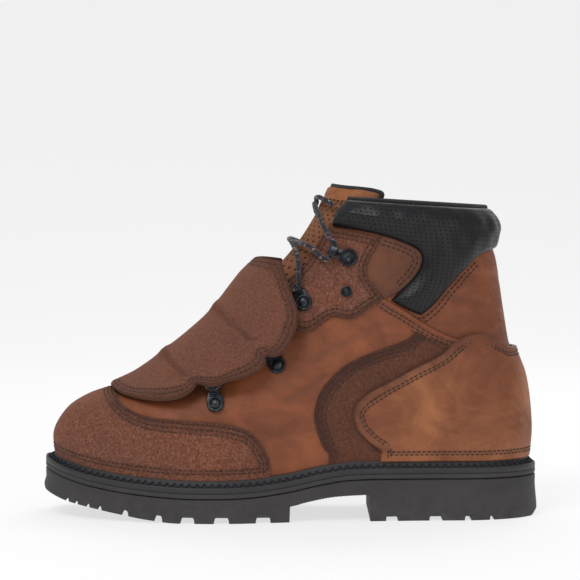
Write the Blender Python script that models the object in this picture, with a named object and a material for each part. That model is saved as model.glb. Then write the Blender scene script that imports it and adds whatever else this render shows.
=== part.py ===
# Composite toe work boot, the left one: toe towards -X, outer side towards -Y, +Z up, standing on Z = 0.
# Every piece of the upper follows one surface, worked out from the sizes and the section table below.
import math
from collections import namedtuple

import bmesh
import bpy
from mathutils import Vector
from mathutils.bvhtree import BVHTree
from mathutils.geometry import delaunay_2d_cdt

for item in list(bpy.data.objects):
    bpy.data.objects.remove(item, do_unlink=True)

# Driving sizes of the last and upper, in metres
UPPER_LENGTH = 0.2900
BALL_WIDTH = 0.1040
WAIST_WIDTH = 0.0800
HEEL_WIDTH = 0.0720
INSTEP_HEIGHT = 0.0840
COLLAR_HEIGHT = 0.1665
BACK_HEIGHT = 0.1610
TOE_SWING = 0.0080
WALL = 0.0024
GAP = 0.0003

# Driving sizes of the sole
FOREFOOT_STACK = 0.0212
HEEL_LIFT = 0.0107
TOE_RISE = 0.0143
TOE_SPRING = 0.0155
WELT_EDGE = 0.0070
WELT_THICKNESS = 0.0032
LIP_HEIGHT = 0.0048
LIP_THICKNESS = 0.0026
MIDSOLE_THICKNESS = 0.0028
LUG_DEPTH = 0.0052
ARCH_HEIGHT = 0.0095
BREAST_HEIGHT = 0.0160
INSOLE_THICKNESS = 0.0030

# Driving sizes of what is sewn or riveted on
OVERLAY = 0.0018
PAD_EDGE = 0.0020
PAD_SWELL = 0.0062
FLAP_THICKNESS = 0.0034
FLAP_LIFT = 0.0109
TONGUE_THICKNESS = 0.0045
LACE_DIAMETER = 0.0030
RING_PLATE = 0.0011
RING_WIDTH = 0.0104
RIVET_DIAMETER = 0.0066
LOOP_RADIUS = 0.0024
LOOP_WIRE = 0.0011
STUD_DIAMETER = 0.0068
HOOK_WIDTH = 0.0108

# How finely the shared surface is cut
COLUMNS = 36
ROW_LEVELS = (0, 1, 1.5, 2, 2.5, 3, 4, 5, 6, 6.5, 7, 8, 9, 10, 11, 12)

# The sections, from the feather line up to the tongue's top. along is a share of UPPER_LENGTH from the toe;
# instep and shaft are shares of INSTEP_HEIGHT and of what COLLAR_HEIGHT adds to it; back is a share of
# BACK_HEIGHT; ball, waist and heel are shares of the widths; nose and tail are the lengths over which a
# section rounds off at its ends, as shares of UPPER_LENGTH; slit is how far back the throat is open.
Section = namedtuple("Section", "along instep shaft back_along back ball waist heel nose power tail slit")
SECTIONS = [
    Section(0.000, 0.000, 0.000, 1.000, 0.000, 0.962, 0.95, 0.93, 0.32, 2.25, 0.140, 0.000),
    Section(-0.007, 0.208, 0.000, 1.008, 0.146, 1.000, 1.00, 1.00, 0.32, 2.25, 0.140, 0.000),
    Section(0.019, 0.405, 0.000, 1.006, 0.220, 0.975, 1.00, 1.00, 0.31, 2.15, 0.140, 0.000),
    Section(0.064, 0.518, 0.000, 1.002, 0.289, 0.935, 0.99, 0.98, 0.33, 2.05, 0.140, 0.000),
    Section(0.150, 0.619, 0.000, 0.995, 0.357, 0.880, 0.97, 0.95, 0.37, 2.00, 0.140, 0.000),
    Section(0.237, 0.774, 0.000, 0.982, 0.422, 0.840, 0.95, 0.92, 0.37, 2.00, 0.140, 0.000),
    Section(0.324, 1.000, 0.000, 0.968, 0.488, 0.800, 0.93, 0.89, 0.33, 2.00, 0.140, 0.000),
    Section(0.412, 1.000, 0.315, 0.958, 0.593, 0.770, 0.92, 0.88, 0.28, 2.00, 0.145, 0.050),
    Section(0.484, 1.000, 0.525, 0.949, 0.699, 0.750, 0.91, 0.88, 0.23, 2.00, 0.150, 0.046),
    Section(0.527, 1.000, 0.710, 0.940, 0.804, 0.740, 0.90, 0.89, 0.19, 2.00, 0.155, 0.036),
    Section(0.551, 1.000, 0.870, 0.922, 0.910, 0.740, 0.89, 0.90, 0.17, 2.00, 0.160, 0.041),
    Section(0.568, 1.000, 1.000, 0.918, 1.000, 0.740, 0.88, 0.91, 0.16, 2.00, 0.160, 0.051),
    Section(0.582, 1.000, 1.100, 0.918, 1.053, 0.740, 0.88, 0.91, 0.16, 2.00, 0.160, 0.060),
]
THROAT_LEVEL = 6
COLLAR_LEVEL = 11

# Where the half-widths of a section stand along the upper, and the toe's swing to the inner side there
STATION_ALONG = (0.10, 0.33, 0.56, 0.75, 0.90)
SWING = ((0.00, 1.00), (0.15, 0.62), (0.33, -0.05), (0.56, -0.35), (0.80, 0.00), (1.00, 0.00))

# Heights of the sole along its length: a share of the sole's length, then a share of the named size
TOE_CURVE = ((0.00, 1.00), (0.05, 0.66), (0.106, 0.39), (0.208, 0.11), (0.31, 0.00), (1.00, 0.00))
HEEL_CURVE = (
    (0.00, 0.00), (0.36, 0.00), (0.42, 0.06), (0.50, 0.34), (0.56, 0.70), (0.62, 0.96), (0.67, 1.0), (1, 1),
)
SPRING_CURVE = (
    (0.00, 1.00), (0.05, 0.68), (0.114, 0.44), (0.167, 0.26), (0.216, 0.11), (0.28, 0.00), (1.00, 0.00),
)
SHANK_CURVE = ((0.0, 0.0), (0.6, 0.85), (1.0, 1.0))
# The sole's edge beyond the upper, as a share of WELT_EDGE along the sole
EDGE_CURVE = (
    (0.00, 1.25), (0.12, 1.15), (0.30, 1.00), (0.55, 0.90), (0.72, 0.90), (0.90, 1.00), (1.00, 1.10),
)
FLARE = 0.0016

TREAD_END = 0.500
HEEL_BREAST = 0.659
STEP_RUN = 0.004

# The sole's length follows from the upper and the edge that stands out round it
TOE_EDGE = WELT_EDGE * EDGE_CURVE[0][1]
HEEL_EDGE = WELT_EDGE * EDGE_CURVE[-1][1]
SOLE_LENGTH = UPPER_LENGTH + TOE_EDGE + HEEL_EDGE
SOLE_FRONT = -SOLE_LENGTH / 2
TOE_X = SOLE_FRONT + TOE_EDGE

# The tread: where each row of lugs starts and ends along the sole, and the lugs' widths as shares of it
OUTLINE_STEPS = 720
EDGE_LUGS = (
    (0.060, 0.085), (0.097, 0.152), (0.172, 0.222), (0.242, 0.282), (0.306, 0.350),
    (0.376, 0.432), (0.458, 0.497), (0.663, 0.694), (0.720, 0.782), (0.808, 0.853), (0.868, 0.902),
)
LUG_INSET = 0.0007
EDGE_LUG_WIDTH = 0.30
EDGE_LUG_FLARE = 1.1
LUG_SPACE = 0.04
LUG_SINK = 0.0012

# Small roundings and steps of the sole's profiles
EDGE_ROUND = 0.0006
MIDSOLE_ROUND = 0.0005
CHANNEL_DEPTH = 0.0004
CHANNEL_EDGE = 0.0008
LIP_BASE = 0.0010
SIDE_LEDGE = 0.0010
SIDE_LEDGE_DROP = 0.0012
SIDE_FOOT = 0.0004
STRAP_FOOT_LEAN = 0.22
DISC_FOOT = 0.0002

# Outlines of what is sewn on, as rows of (share of UPPER_LENGTH from the toe, level of the surface)
TOE_CAP_SEAM = ((0.456, 0.75), (0.434, 1.36), (0.404, 1.83), (0.352, 2.10), (0.272, 2.22), (0.198, 2.33),
                (0.148, 2.75), (0.116, 3.30), (0.106, 3.52))
FLAP_FRONT = ((0.1075, 3.54), (0.120, 3.42), (0.147, 3.28))
FLAP_LOBE_LOW = ((0.147, 3.28), (0.190, 3.02), (0.233, 2.92), (0.275, 3.02), (0.302, 3.30), (0.311, 3.60))
FLAP_LOBE_MID = ((0.311, 3.60), (0.330, 3.48), (0.347, 3.46), (0.389, 3.85), (0.431, 4.35), (0.451, 4.75),
                 (0.453, 5.02))
FLAP_LOBE_HIGH = ((0.453, 5.02), (0.477, 5.06), (0.508, 5.75), (0.524, 6.50), (0.516, 7.05), (0.505, 7.72))
COUNTER_FRONT = ((0.688, 0.60), (0.661, 0.88), (0.640, 1.30), (0.630, 1.88), (0.632, 2.40), (0.645, 2.91),
                 (0.671, 3.47), (0.722, 4.18), (0.763, 4.74), (0.817, 5.38), (0.842, 5.98))
COUNTER_BACK_LEVEL = 5.70
COUNTER_TOP = ((0.842, 5.98), (0.869, 6.27), (0.895, 6.34), (0.920, 6.16), (0.947, 5.84))
STRAP_FRONT = ((0.580, 0.62), (0.567, 0.85), (0.554, 1.47), (0.548, 2.23), (0.559, 3.36), (0.580, 4.19),
               (0.620, 5.00), (0.692, 5.58), (0.728, 5.86), (0.768, 6.44))
STRAP_TOP = ((0.768, 6.44), (0.800, 6.22), (0.836, 5.99))
EYESTAY_TOP = ((0.588, 9.50), (0.645, 9.44), (0.690, 9.34))
EYESTAY_BACK = ((0.690, 9.34), (0.682, 8.99), (0.663, 8.30), (0.664, 7.80), (0.696, 7.15))
EYESTAY_LOW = ((0.696, 7.15), (0.645, 6.68), (0.620, 6.58), (0.588, 6.60), (0.562, 6.42), (0.531, 6.22),
               (0.500, 6.30), (0.470, 6.34))
EYESTAY_FRONT_LEVELS = (9.46, 8.0, 7.0, 6.40)
PAD_TAIL = ((0.887, 8.92), (0.843, 8.05), (0.800, 7.12), (0.774, 6.78))
PAD_FOOT = ((0.774, 6.78), (0.740, 6.92), (0.710, 7.14))
PAD_INNER = ((0.710, 7.14), (0.729, 7.49), (0.759, 8.06), (0.774, 8.61), (0.767, 9.01), (0.736, 9.30),
             (0.691, 9.50), (0.645, 9.60), (0.605, 9.66))
PAD_TIP_LEVEL = 9.70
PAD_TIP_BACK = 0.40
PAD_BACK_LEVEL = 9.50
SEAM_GAP = 0.05
OUTLINE_STEP = 1.5

# The tongue's edge as rows of (level, share of UPPER_LENGTH behind the front)
TONGUE_EDGE = (
    (5.55, 0.020), (6.0, 0.035), (7.0, 0.080), (8.0, 0.095), (9.0, 0.095), (10.0, 0.100), (11.0, 0.112),
    (11.55, 0.110), (11.80, 0.070), (11.97, 0.020),
)
TONGUE_CLEARANCE = 0.0020

# Lace hardware: where each piece sits and what it points at, as (share of UPPER_LENGTH, level)
RING_SEATS = (
    ((0.343, 3.05), (0.340, 3.70)),
    ((0.472, 4.96), (0.450, 5.45)),
    ((0.529, 6.84), (0.511, 7.32)),
)
HOOK_SEAT = ((0.623, 8.43), (0.583, 8.62))
STUD_SEAT = ((0.617, 7.27), (0.600, 7.60))
RING_REACH = 0.0092
LOOP_HEIGHT = 0.0032
HOOK_REACH = 0.0125
HOOK_RISE = 0.0064
HOOK_HALF = 0.0030
HOOK_BEND = 0.0012
HOOK_LIP = 0.0058
HOOK_TILT = 0.0005
HOOK_FOOT = 0.0020
HOOK_SIDES = 14
RIVET_HEIGHT = 0.0022
PLATE_SEAT = 0.0007

# The lace's way over the tongue
LACE_STEP = 0.0118
LACE_DIP = 0.0042
LACE_BOW = 0.7
LACE_TOP_BOW = 0.2
LACE_CROSSING_LEVEL = 10.6
LACE_ENDS = (0.590, 10.65)
LACE_END_LIFT = 0.0006


def smooth_table(rows, x):
    """Reads a table of (place, value) rows along a smooth curve that doesn't overshoot."""
    if x <= rows[0][0]:
        return rows[0][1]
    if x >= rows[-1][0]:
        return rows[-1][1]
    k = max(i for i in range(len(rows) - 1) if rows[i][0] <= x)
    slopes = [(rows[i + 1][1] - rows[i][1]) / (rows[i + 1][0] - rows[i][0]) for i in range(len(rows) - 1)]

    def slope_at(i):
        if i == 0:
            return slopes[0]
        if i == len(rows) - 1:
            return slopes[-1]
        a, b = slopes[i - 1], slopes[i]
        return 2 * a * b / (a + b) if a * b > 0 else 0.0

    width = rows[k + 1][0] - rows[k][0]
    t = (x - rows[k][0]) / width
    low, high = rows[k][1], rows[k + 1][1]
    start, end = slope_at(k) * width, slope_at(k + 1) * width
    return (
        (2 * t**3 - 3 * t**2 + 1) * low
        + (t**3 - 2 * t**2 + t) * start
        + (3 * t**2 - 2 * t**3) * high
        + (t**3 - t**2) * end
    )


def column(name):
    return [(level, getattr(row, name)) for level, row in enumerate(SECTIONS)]


COLUMN = {name: column(name) for name in Section._fields}


def section(level, name):
    return smooth_table(COLUMN[name], level)


def sole_share(x):
    return (x - SOLE_FRONT) / SOLE_LENGTH


def welt_top(x):
    """Height of the welt's ledge above the floor."""
    s = sole_share(x)
    return FOREFOOT_STACK + TOE_RISE * smooth_table(TOE_CURVE, s) + HEEL_LIFT * smooth_table(HEEL_CURVE, s)


def midsole_top(x):
    return welt_top(x) - WELT_THICKNESS


def midsole_bottom(x):
    return midsole_top(x) - GAP - MIDSOLE_THICKNESS


def front_point(level):
    base = midsole_top(TOE_X) + GAP
    shaft = section(level, "shaft") * (COLLAR_HEIGHT - INSTEP_HEIGHT)
    height = base + section(level, "instep") * INSTEP_HEIGHT + shaft
    return TOE_X + section(level, "along") * UPPER_LENGTH, height


def back_point(level):
    base = midsole_top(TOE_X + UPPER_LENGTH) + GAP
    return TOE_X + section(level, "back_along") * UPPER_LENGTH, base + section(level, "back") * BACK_HEIGHT


def half_width(level, along):
    """Half the width of a section before its ends are rounded."""
    ball = section(level, "ball") * BALL_WIDTH / 2
    waist = section(level, "waist") * WAIST_WIDTH / 2
    heel = section(level, "heel") * HEEL_WIDTH / 2
    values = (ball * 0.97, ball, waist, (waist + heel) / 2, heel)
    return smooth_table(list(zip(STATION_ALONG, values)), along)


def rounding(distance, length, power):
    q = min(max(distance / length, 0.0), 1.0)
    return (1 - (1 - q) ** power) ** (1 / power)


def centre_line(level, along):
    fade = 1 - 0.6 * min(level / COLLAR_LEVEL, 1)
    return TOE_SWING * smooth_table(SWING, along) * fade


def sag(level, x):
    """How far the sole's curve pulls a low section down from its plane."""
    fade = max(0.0, 1 - level / THROAT_LEVEL) ** 2
    if fade == 0:
        return 0.0
    toe, heel = front_point(0), back_point(0)
    share = min(max((x - toe[0]) / (heel[0] - toe[0]), 0.0), 1.0)
    plane = toe[1] + (heel[1] - toe[1]) * share
    return (midsole_top(x) + GAP - plane) * fade


def surface(theta, level):
    """A point of the upper's outer face. theta is 0 at the front, pi at the back, less on the outer side."""
    front, back = front_point(level), back_point(level)
    t = (1 - math.cos(theta)) / 2
    x = front[0] + (back[0] - front[0]) * t
    length = math.hypot(back[0] - front[0], back[1] - front[1])
    along = (x - TOE_X) / UPPER_LENGTH
    half = half_width(level, along)
    half *= rounding(length * t, section(level, "nose") * UPPER_LENGTH, section(level, "power"))
    half *= rounding(length * (1 - t), section(level, "tail") * UPPER_LENGTH, 2.0)
    side = -1 if math.sin(theta) >= 0 else 1
    z = front[1] + (back[1] - front[1]) * t + sag(level, x)
    return Vector((x, centre_line(level, along) + side * half, z))


def surface_normal(theta, level):
    step = 0.02
    top = len(SECTIONS) - 1
    low, high = max(level - 0.1, 0), min(level + 0.1, top)
    across = surface(theta + step, level) - surface(theta - step, level)
    up = surface(theta, high) - surface(theta, low)
    return across.cross(up).normalized()


def slit_angle(level):
    """The half-angle over which the throat is open at a level."""
    depth = section(level, "slit") * UPPER_LENGTH if level > THROAT_LEVEL else 0.0
    if depth <= 0:
        return 0.0
    front, back = front_point(level), back_point(level)
    length = math.hypot(back[0] - front[0], back[1] - front[1])
    return math.acos(1 - 2 * depth / length)


def row_at(level):
    """The row, whole or between two, at which a level stands."""
    k = 0
    while k < len(ROW_LEVELS) - 2 and ROW_LEVELS[k + 1] < level:
        k += 1
    return k + (level - ROW_LEVELS[k]) / (ROW_LEVELS[k + 1] - ROW_LEVELS[k])


def level_at(row):
    k = min(int(row), len(ROW_LEVELS) - 2)
    return ROW_LEVELS[k] + (row - k) * (ROW_LEVELS[k + 1] - ROW_LEVELS[k])


class Net:
    """The surface cut into flat triangles, so that the pieces that lie on it share its facets."""

    def __init__(self, top_level, open_throat):
        self.open = open_throat
        self.rows = ROW_LEVELS.index(top_level) + 1
        self.points, self.normals = [], []
        for j in range(self.rows):
            level = ROW_LEVELS[j]
            angles = [self.angle(i, level) for i in range(COLUMNS + 1)]
            self.points.append([surface(a, level) for a in angles])
            self.normals.append([surface_normal(a, level) for a in angles])

    def first_angle(self, level):
        return slit_angle(level) if self.open else 0.0

    def angle(self, i, level):
        first = self.first_angle(level)
        return first + (2 * math.pi - 2 * first) * i / COLUMNS

    def place(self, along, level, side):
        """Column and row of a point at a share of the length, on the outer (1) or inner (-1) side."""
        front, back = front_point(level), back_point(level)
        x = TOE_X + along * UPPER_LENGTH
        t = min(max((x - front[0]) / (back[0] - front[0]), 0.0), 1.0)
        theta = math.acos(1 - 2 * t)
        first = self.first_angle(level)
        i = (theta - first) / (2 * math.pi - 2 * first) * COLUMNS
        return (i if side > 0 else -i), row_at(level)

    def at(self, i, j, offset):
        """The point offset from the facet that holds column i and row j."""
        j0 = min(max(int(math.floor(j + 1e-9)), 0), self.rows - 2)
        i0 = int(math.floor(i + 1e-9))
        fi, fj = i - i0, j - j0
        corners = [(i0, j0), (i0 + 1, j0), (i0 + 1, j0 + 1), (i0, j0 + 1)]
        if fi >= fj:
            weights = (1 - fi, fi - fj, fj, 0)
        else:
            weights = (1 - fj, 0, fi, fj - fi)
        point, normal = Vector(), Vector()
        for (ci, cj), w in zip(corners, weights):
            if w:
                point += self.points[cj][ci % COLUMNS if not self.open or ci < 0 else ci] * w
                normal += self.normals[cj][ci % COLUMNS if not self.open or ci < 0 else ci] * w
        return point + normal.normalized() * offset


def new_object(name, points, faces, material):
    mesh = bpy.data.meshes.new(name)
    mesh.from_pydata([tuple(p) for p in points], [], faces)
    mesh.materials.append(material)
    mesh.validate()
    item = bpy.data.objects.new(name, mesh)
    bpy.context.collection.objects.link(item)
    return item


def make_material(name, colour, roughness, metallic=0.0):
    material = bpy.data.materials.new(name)
    material.use_nodes = True
    shader = material.node_tree.nodes["Principled BSDF"]
    shader.inputs["Base Color"].default_value = (*colour, 1)
    shader.inputs["Roughness"].default_value = roughness
    shader.inputs["Metallic"].default_value = metallic
    return material


def curve_through(points, step):
    """A smooth line through points of a plane, with places about a step apart; both ends are kept."""
    line = [Vector(points[0])]
    for k in range(len(points) - 1):
        before = Vector(points[max(k - 1, 0)])
        a, b = Vector(points[k]), Vector(points[k + 1])
        after = Vector(points[min(k + 2, len(points) - 1)])
        count = max(1, round((b - a).length / step))
        for n in range(1, count + 1):
            t = n / count
            line.append(
                0.5
                * (
                    2 * a
                    + (b - before) * t
                    + (2 * before - 5 * a + 4 * b - after) * t * t
                    + (3 * a - before - 3 * b + after) * t**3
                )
            )
    return line


def inside(point, loop):
    hit = False
    for k, a in enumerate(loop):
        b = loop[k - 1]
        if (a.y > point.y) != (b.y > point.y):
            if point.x < (b.x - a.x) * (point.y - a.y) / (b.y - a.y) + a.x:
                hit = not hit
    return hit


def loop_distance(point, loop):
    best = 1e9
    for k, a in enumerate(loop):
        edge = loop[k - 1] - a
        t = max(0.0, min(1.0, (point - a).dot(edge) / max(edge.length_squared, 1e-12)))
        best = min(best, (point - a - edge * t).length)
    return best


def panel(name, net, loop, inner, outer, material):
    """A piece lying on the net inside a loop of (column, row) places.

    inner and outer give the offset of its faces at a place, from its column, row and distance to the edge.
    """
    i_low, i_high = math.floor(min(p.x for p in loop)), math.ceil(max(p.x for p in loop))
    j_low, j_high = math.floor(min(p.y for p in loop)), math.ceil(max(p.y for p in loop))
    j_low, j_high = max(j_low, 0), min(j_high, net.rows - 1)
    wide = i_high - i_low + 1
    flat = [Vector((i, j)) for j in range(j_low, j_high + 1) for i in range(i_low, i_high + 1)]
    edges = []
    for j in range(j_high - j_low + 1):
        for i in range(wide):
            here = j * wide + i
            if i + 1 < wide:
                edges.append((here, here + 1))
            if j < j_high - j_low:
                edges.append((here, here + wide))
                if i + 1 < wide:
                    edges.append((here, here + wide + 1))
    start = len(flat)
    flat += loop
    edges += [(start + k, start + (k + 1) % len(loop)) for k in range(len(loop))]
    places, _, faces, _, _, _ = delaunay_2d_cdt(flat, edges, [], 0, 1e-4)
    kept = []
    for face in faces:
        middle = sum((places[v] for v in face), Vector((0, 0))) / len(face)
        if inside(middle, loop):
            corners = [places[v] for v in face]
            turn = (corners[1] - corners[0]).cross(corners[2] - corners[0])
            kept.append(tuple(face) if turn > 0 else tuple(reversed(face)))
    used = sorted({v for face in kept for v in face})
    index = {v: k for k, v in enumerate(used)}
    inside_points, outside_points = [], []
    for v in used:
        i, j = places[v]
        edge_distance = loop_distance(places[v], loop)
        inside_points.append(net.at(i, j, inner(i, j, edge_distance)))
        outside_points.append(net.at(i, j, outer(i, j, edge_distance)))
    count = len(used)
    all_faces, directed = [], set()
    for face in kept:
        a, b, c = (index[v] for v in face)
        all_faces.append((count + a, count + b, count + c))
        all_faces.append((c, b, a))
        directed |= {(a, b), (b, c), (c, a)}
    for a, b in sorted(directed):
        if (b, a) not in directed:
            all_faces.append((a, b, count + b))
            all_faces.append((a, count + b, count + a))
    return new_object(name, inside_points + outside_points, all_faces, material)


def flat_offset(value):
    return lambda i, j, d: value


def rows_to_closed(name, rings, material, ladder=False):
    """Joins closed rings of points, one after another, and fills the first and last.

    A ladder end is filled by strips between opposite points, for a ring that isn't flat.
    """
    n = len(rings[0])
    points = [p for ring in rings for p in ring]
    faces = []
    for r in range(len(rings) - 1):
        for k in range(n):
            a, b = r * n + k, r * n + (k + 1) % n
            faces.append((a, b, b + n))
            faces.append((a, b + n, a + n))
    last = (len(rings) - 1) * n
    if ladder:
        for k in range(n // 2 - 1):
            strip = (k, k + 1, n - 2 - k, n - 1 - k)
            faces.append(strip[::-1])
            faces.append(tuple(last + v for v in strip))
    else:
        faces.append(tuple(range(n - 1, -1, -1)))
        faces.append(tuple(range(last, last + n)))
    return new_object(name, points, faces, material)


def torus_of_rings(name, rings, material):
    """Joins rings of points that follow a closed path."""
    n = len(rings[0])
    points = [p for ring in rings for p in ring]
    faces = []
    for r in range(len(rings)):
        nxt = (r + 1) % len(rings)
        for k in range(n):
            a, b = r * n + k, r * n + (k + 1) % n
            c, d = nxt * n + (k + 1) % n, nxt * n + k
            faces.append((a, d, c))
            faces.append((a, c, b))
    return new_object(name, points, faces, material)


def face_out(item):
    """Turns the faces of a closed mesh outwards."""
    work = bmesh.new()
    work.from_mesh(item.data)
    bmesh.ops.recalc_face_normals(work, faces=work.faces)
    work.to_mesh(item.data)
    work.free()


def join_solids(base, others):
    """Unites solids that meet into the first one."""
    for other in others:
        union = base.modifiers.new("join", "BOOLEAN")
        union.operation = "UNION"
        union.object = other
        other.hide_render = True
        other.display_type = "WIRE"


# The upper: outer and inner wall, rims at the bottom, the collar and the two edges of the throat
def build_upper(net, material):
    rows, columns = net.rows, COLUMNS + 1
    throat_row = ROW_LEVELS.index(THROAT_LEVEL)
    points, index = [], {}
    for layer, offset in (("outer", 0.0), ("inner", -WALL)):
        for j in range(rows):
            for i in range(columns):
                if i == COLUMNS and j <= throat_row:
                    index[layer, j, i] = index[layer, j, 0]
                    continue
                index[layer, j, i] = len(points)
                points.append(net.points[j][i] + net.normals[j][i] * offset)
    faces = []
    for layer, flip in (("outer", False), ("inner", True)):
        for j in range(rows - 1):
            for i in range(COLUMNS):
                a, b = index[layer, j, i], index[layer, j, i + 1]
                c, d = index[layer, j + 1, i + 1], index[layer, j + 1, i]
                for face in ((a, b, c), (a, c, d)):
                    faces.append(tuple(reversed(face)) if flip else face)
    for j, flip in ((0, True), (rows - 1, False)):
        for i in range(COLUMNS):
            a, b = index["outer", j, i], index["outer", j, i + 1]
            c, d = index["inner", j, i + 1], index["inner", j, i]
            faces.append((d, c, b, a) if flip else (a, b, c, d))
    for i, flip in ((0, False), (COLUMNS, True)):
        for j in range(throat_row, rows - 1):
            a, b = index["outer", j, i], index["outer", j + 1, i]
            c, d = index["inner", j + 1, i], index["inner", j, i]
            face = [v for k, v in enumerate((a, b, c, d)) if v not in (a, b, c, d)[:k]]
            faces.append(tuple(reversed(face)) if flip else tuple(face))
    item = new_object("upper", points, faces, material)
    face_out(item)
    return item


def outline_point(theta, reach):
    """A plan point that stands a distance outside the upper's feather line."""
    here = surface(theta, 0)
    along = surface(theta + 0.02, 0) - surface(theta - 0.02, 0)
    out = Vector((along.y, -along.x, 0)).normalized()
    return here.x + out.x * reach, here.y + out.y * reach


def edge_reach(theta):
    x = surface(theta, 0).x
    return WELT_EDGE * smooth_table(EDGE_CURVE, sole_share(x))


def ring_angles(count):
    return [2 * math.pi * k / count for k in range(count)]


def build_welt(material):
    rings = []
    for theta in ring_angles(COLUMNS):
        reach = edge_reach(theta)
        lip_inner, lip_outer = GAP * 2, GAP * 2 + LIP_THICKNESS
        profile = [
            (lip_inner, -WELT_THICKNESS + GAP),
            (reach - EDGE_ROUND, -WELT_THICKNESS + GAP),
            (reach, -WELT_THICKNESS + GAP + EDGE_ROUND),
            (reach, -EDGE_ROUND),
            (reach - EDGE_ROUND, 0.0),
            (lip_outer + CHANNEL_EDGE, -CHANNEL_DEPTH),
            (lip_outer, LIP_BASE),
            (lip_outer - EDGE_ROUND, LIP_HEIGHT),
            (lip_inner + lean_in(theta), LIP_HEIGHT),
        ]
        ring = []
        for out, up in profile:
            x, y = outline_point(theta, out)
            ring.append(Vector((x, y, welt_top(x) + up)))
        rings.append(ring)
    item = torus_of_rings("welt", rings, material)
    face_out(item)
    return item


def lean_in(theta):
    """How far the upper's wall has bulged out at the height of the lip's top."""
    x, y = outline_point(theta, 0.0)
    low = surface(theta, 0)
    high = surface(theta, 0.5)
    inward = outline_point(theta, -0.001)
    out = Vector((x - inward[0], y - inward[1], 0)).normalized()
    rise = max(high.z - low.z, 0.001)
    return max((high - low).dot(out), 0.0) * (LIP_HEIGHT + WELT_THICKNESS) / rise


def plan_ring(reach, height):
    ring = []
    for theta in ring_angles(COLUMNS):
        x, y = outline_point(theta, edge_reach(theta) + reach)
        ring.append(Vector((x, y, height(x))))
    return ring


def build_strip_plate(name, layers, material):
    """A plate whose top and bottom are strips across the foot, so that they follow its curve lengthwise.

    layers are closed rings from the bottom up, each with COLUMNS points in the order of ring_angles.
    """
    n = COLUMNS
    points = [p for ring in layers for p in ring]
    faces = []
    for r in range(len(layers) - 1):
        for k in range(n):
            a, b = r * n + k, r * n + (k + 1) % n
            faces.append((a, b, b + n))
            faces.append((a, b + n, a + n))
    for layer, flip in ((0, True), (len(layers) - 1, False)):
        base = layer * n
        for k in range(n // 2):
            a, b = k, k + 1
            c, d = (n - b) % n, (n - a) % n
            corners = [base + v for v in (a, b, c, d)]
            face = [v for m, v in enumerate(corners) if v not in corners[:m]]
            faces.append(tuple(reversed(face)) if flip else tuple(face))
    item = new_object(name, points, faces, material)
    face_out(item)
    return item


def build_midsole(material):
    layers = [
        plan_ring(-MIDSOLE_ROUND, midsole_bottom),
        plan_ring(0.0, lambda x: midsole_bottom(x) + MIDSOLE_ROUND),
        plan_ring(0.0, lambda x: midsole_top(x) - MIDSOLE_ROUND * 0.8),
        plan_ring(-MIDSOLE_ROUND, midsole_top),
    ]
    return build_strip_plate("midsole", layers, material)


def root_height(x):
    """Height of the outsole's underside between its lugs."""
    s = sole_share(x)
    spring = TOE_SPRING * smooth_table(SPRING_CURVE, s) + LUG_DEPTH
    if s < TREAD_END:
        return spring
    if s < HEEL_BREAST:
        share = (s - TREAD_END) / (HEEL_BREAST - TREAD_END)
        return ARCH_HEIGHT + (BREAST_HEIGHT - ARCH_HEIGHT) * smooth_table(SHANK_CURVE, share)
    return LUG_DEPTH


def sole_stations():
    """Places along the sole where its section is taken: those of the midsole's facets, and each step."""
    edge = [outline_point(theta, edge_reach(theta))[0] for theta in ring_angles(COLUMNS)[1:COLUMNS // 2]]
    low_x, high_x = OUTER_EDGE[0][0], OUTER_EDGE[-1][0]
    shares = [(x - low_x) / (high_x - low_x) for x in edge]
    shares += [shares[0] * 0.3, 1 - (1 - shares[-1]) * 0.3]
    step = STEP_RUN / SOLE_LENGTH
    fixed = [TREAD_END - step * 0.1, TREAD_END + step * 0.4]
    fixed += [HEEL_BREAST - step * 0.4, HEEL_BREAST + step * 0.1]
    shares = [s for s in shares if all(abs(s - f) > step * 0.8 for f in fixed)]
    return sorted(shares + fixed)


def outline_widths():
    """The outer and inner edge of the sole's outline as tables of (x, y)."""
    outer, inner = [], []
    for k in range(OUTLINE_STEPS // 2 + 1):
        theta = 2 * math.pi * k / OUTLINE_STEPS
        outer.append(outline_point(theta, edge_reach(theta)))
        inner.append(outline_point(-theta, edge_reach(-theta)))
    return outer, inner


OUTER_EDGE, INNER_EDGE = outline_widths()


def edge_y(edge, x):
    """Where a table of the outline crosses a place along the foot."""
    for a, b in zip(edge, edge[1:]):
        if a[0] <= x <= b[0] and b[0] > a[0]:
            return a[1] + (b[1] - a[1]) * (x - a[0]) / (b[0] - a[0])
    return edge[0][1] if x < edge[0][0] else edge[-1][1]


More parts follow.
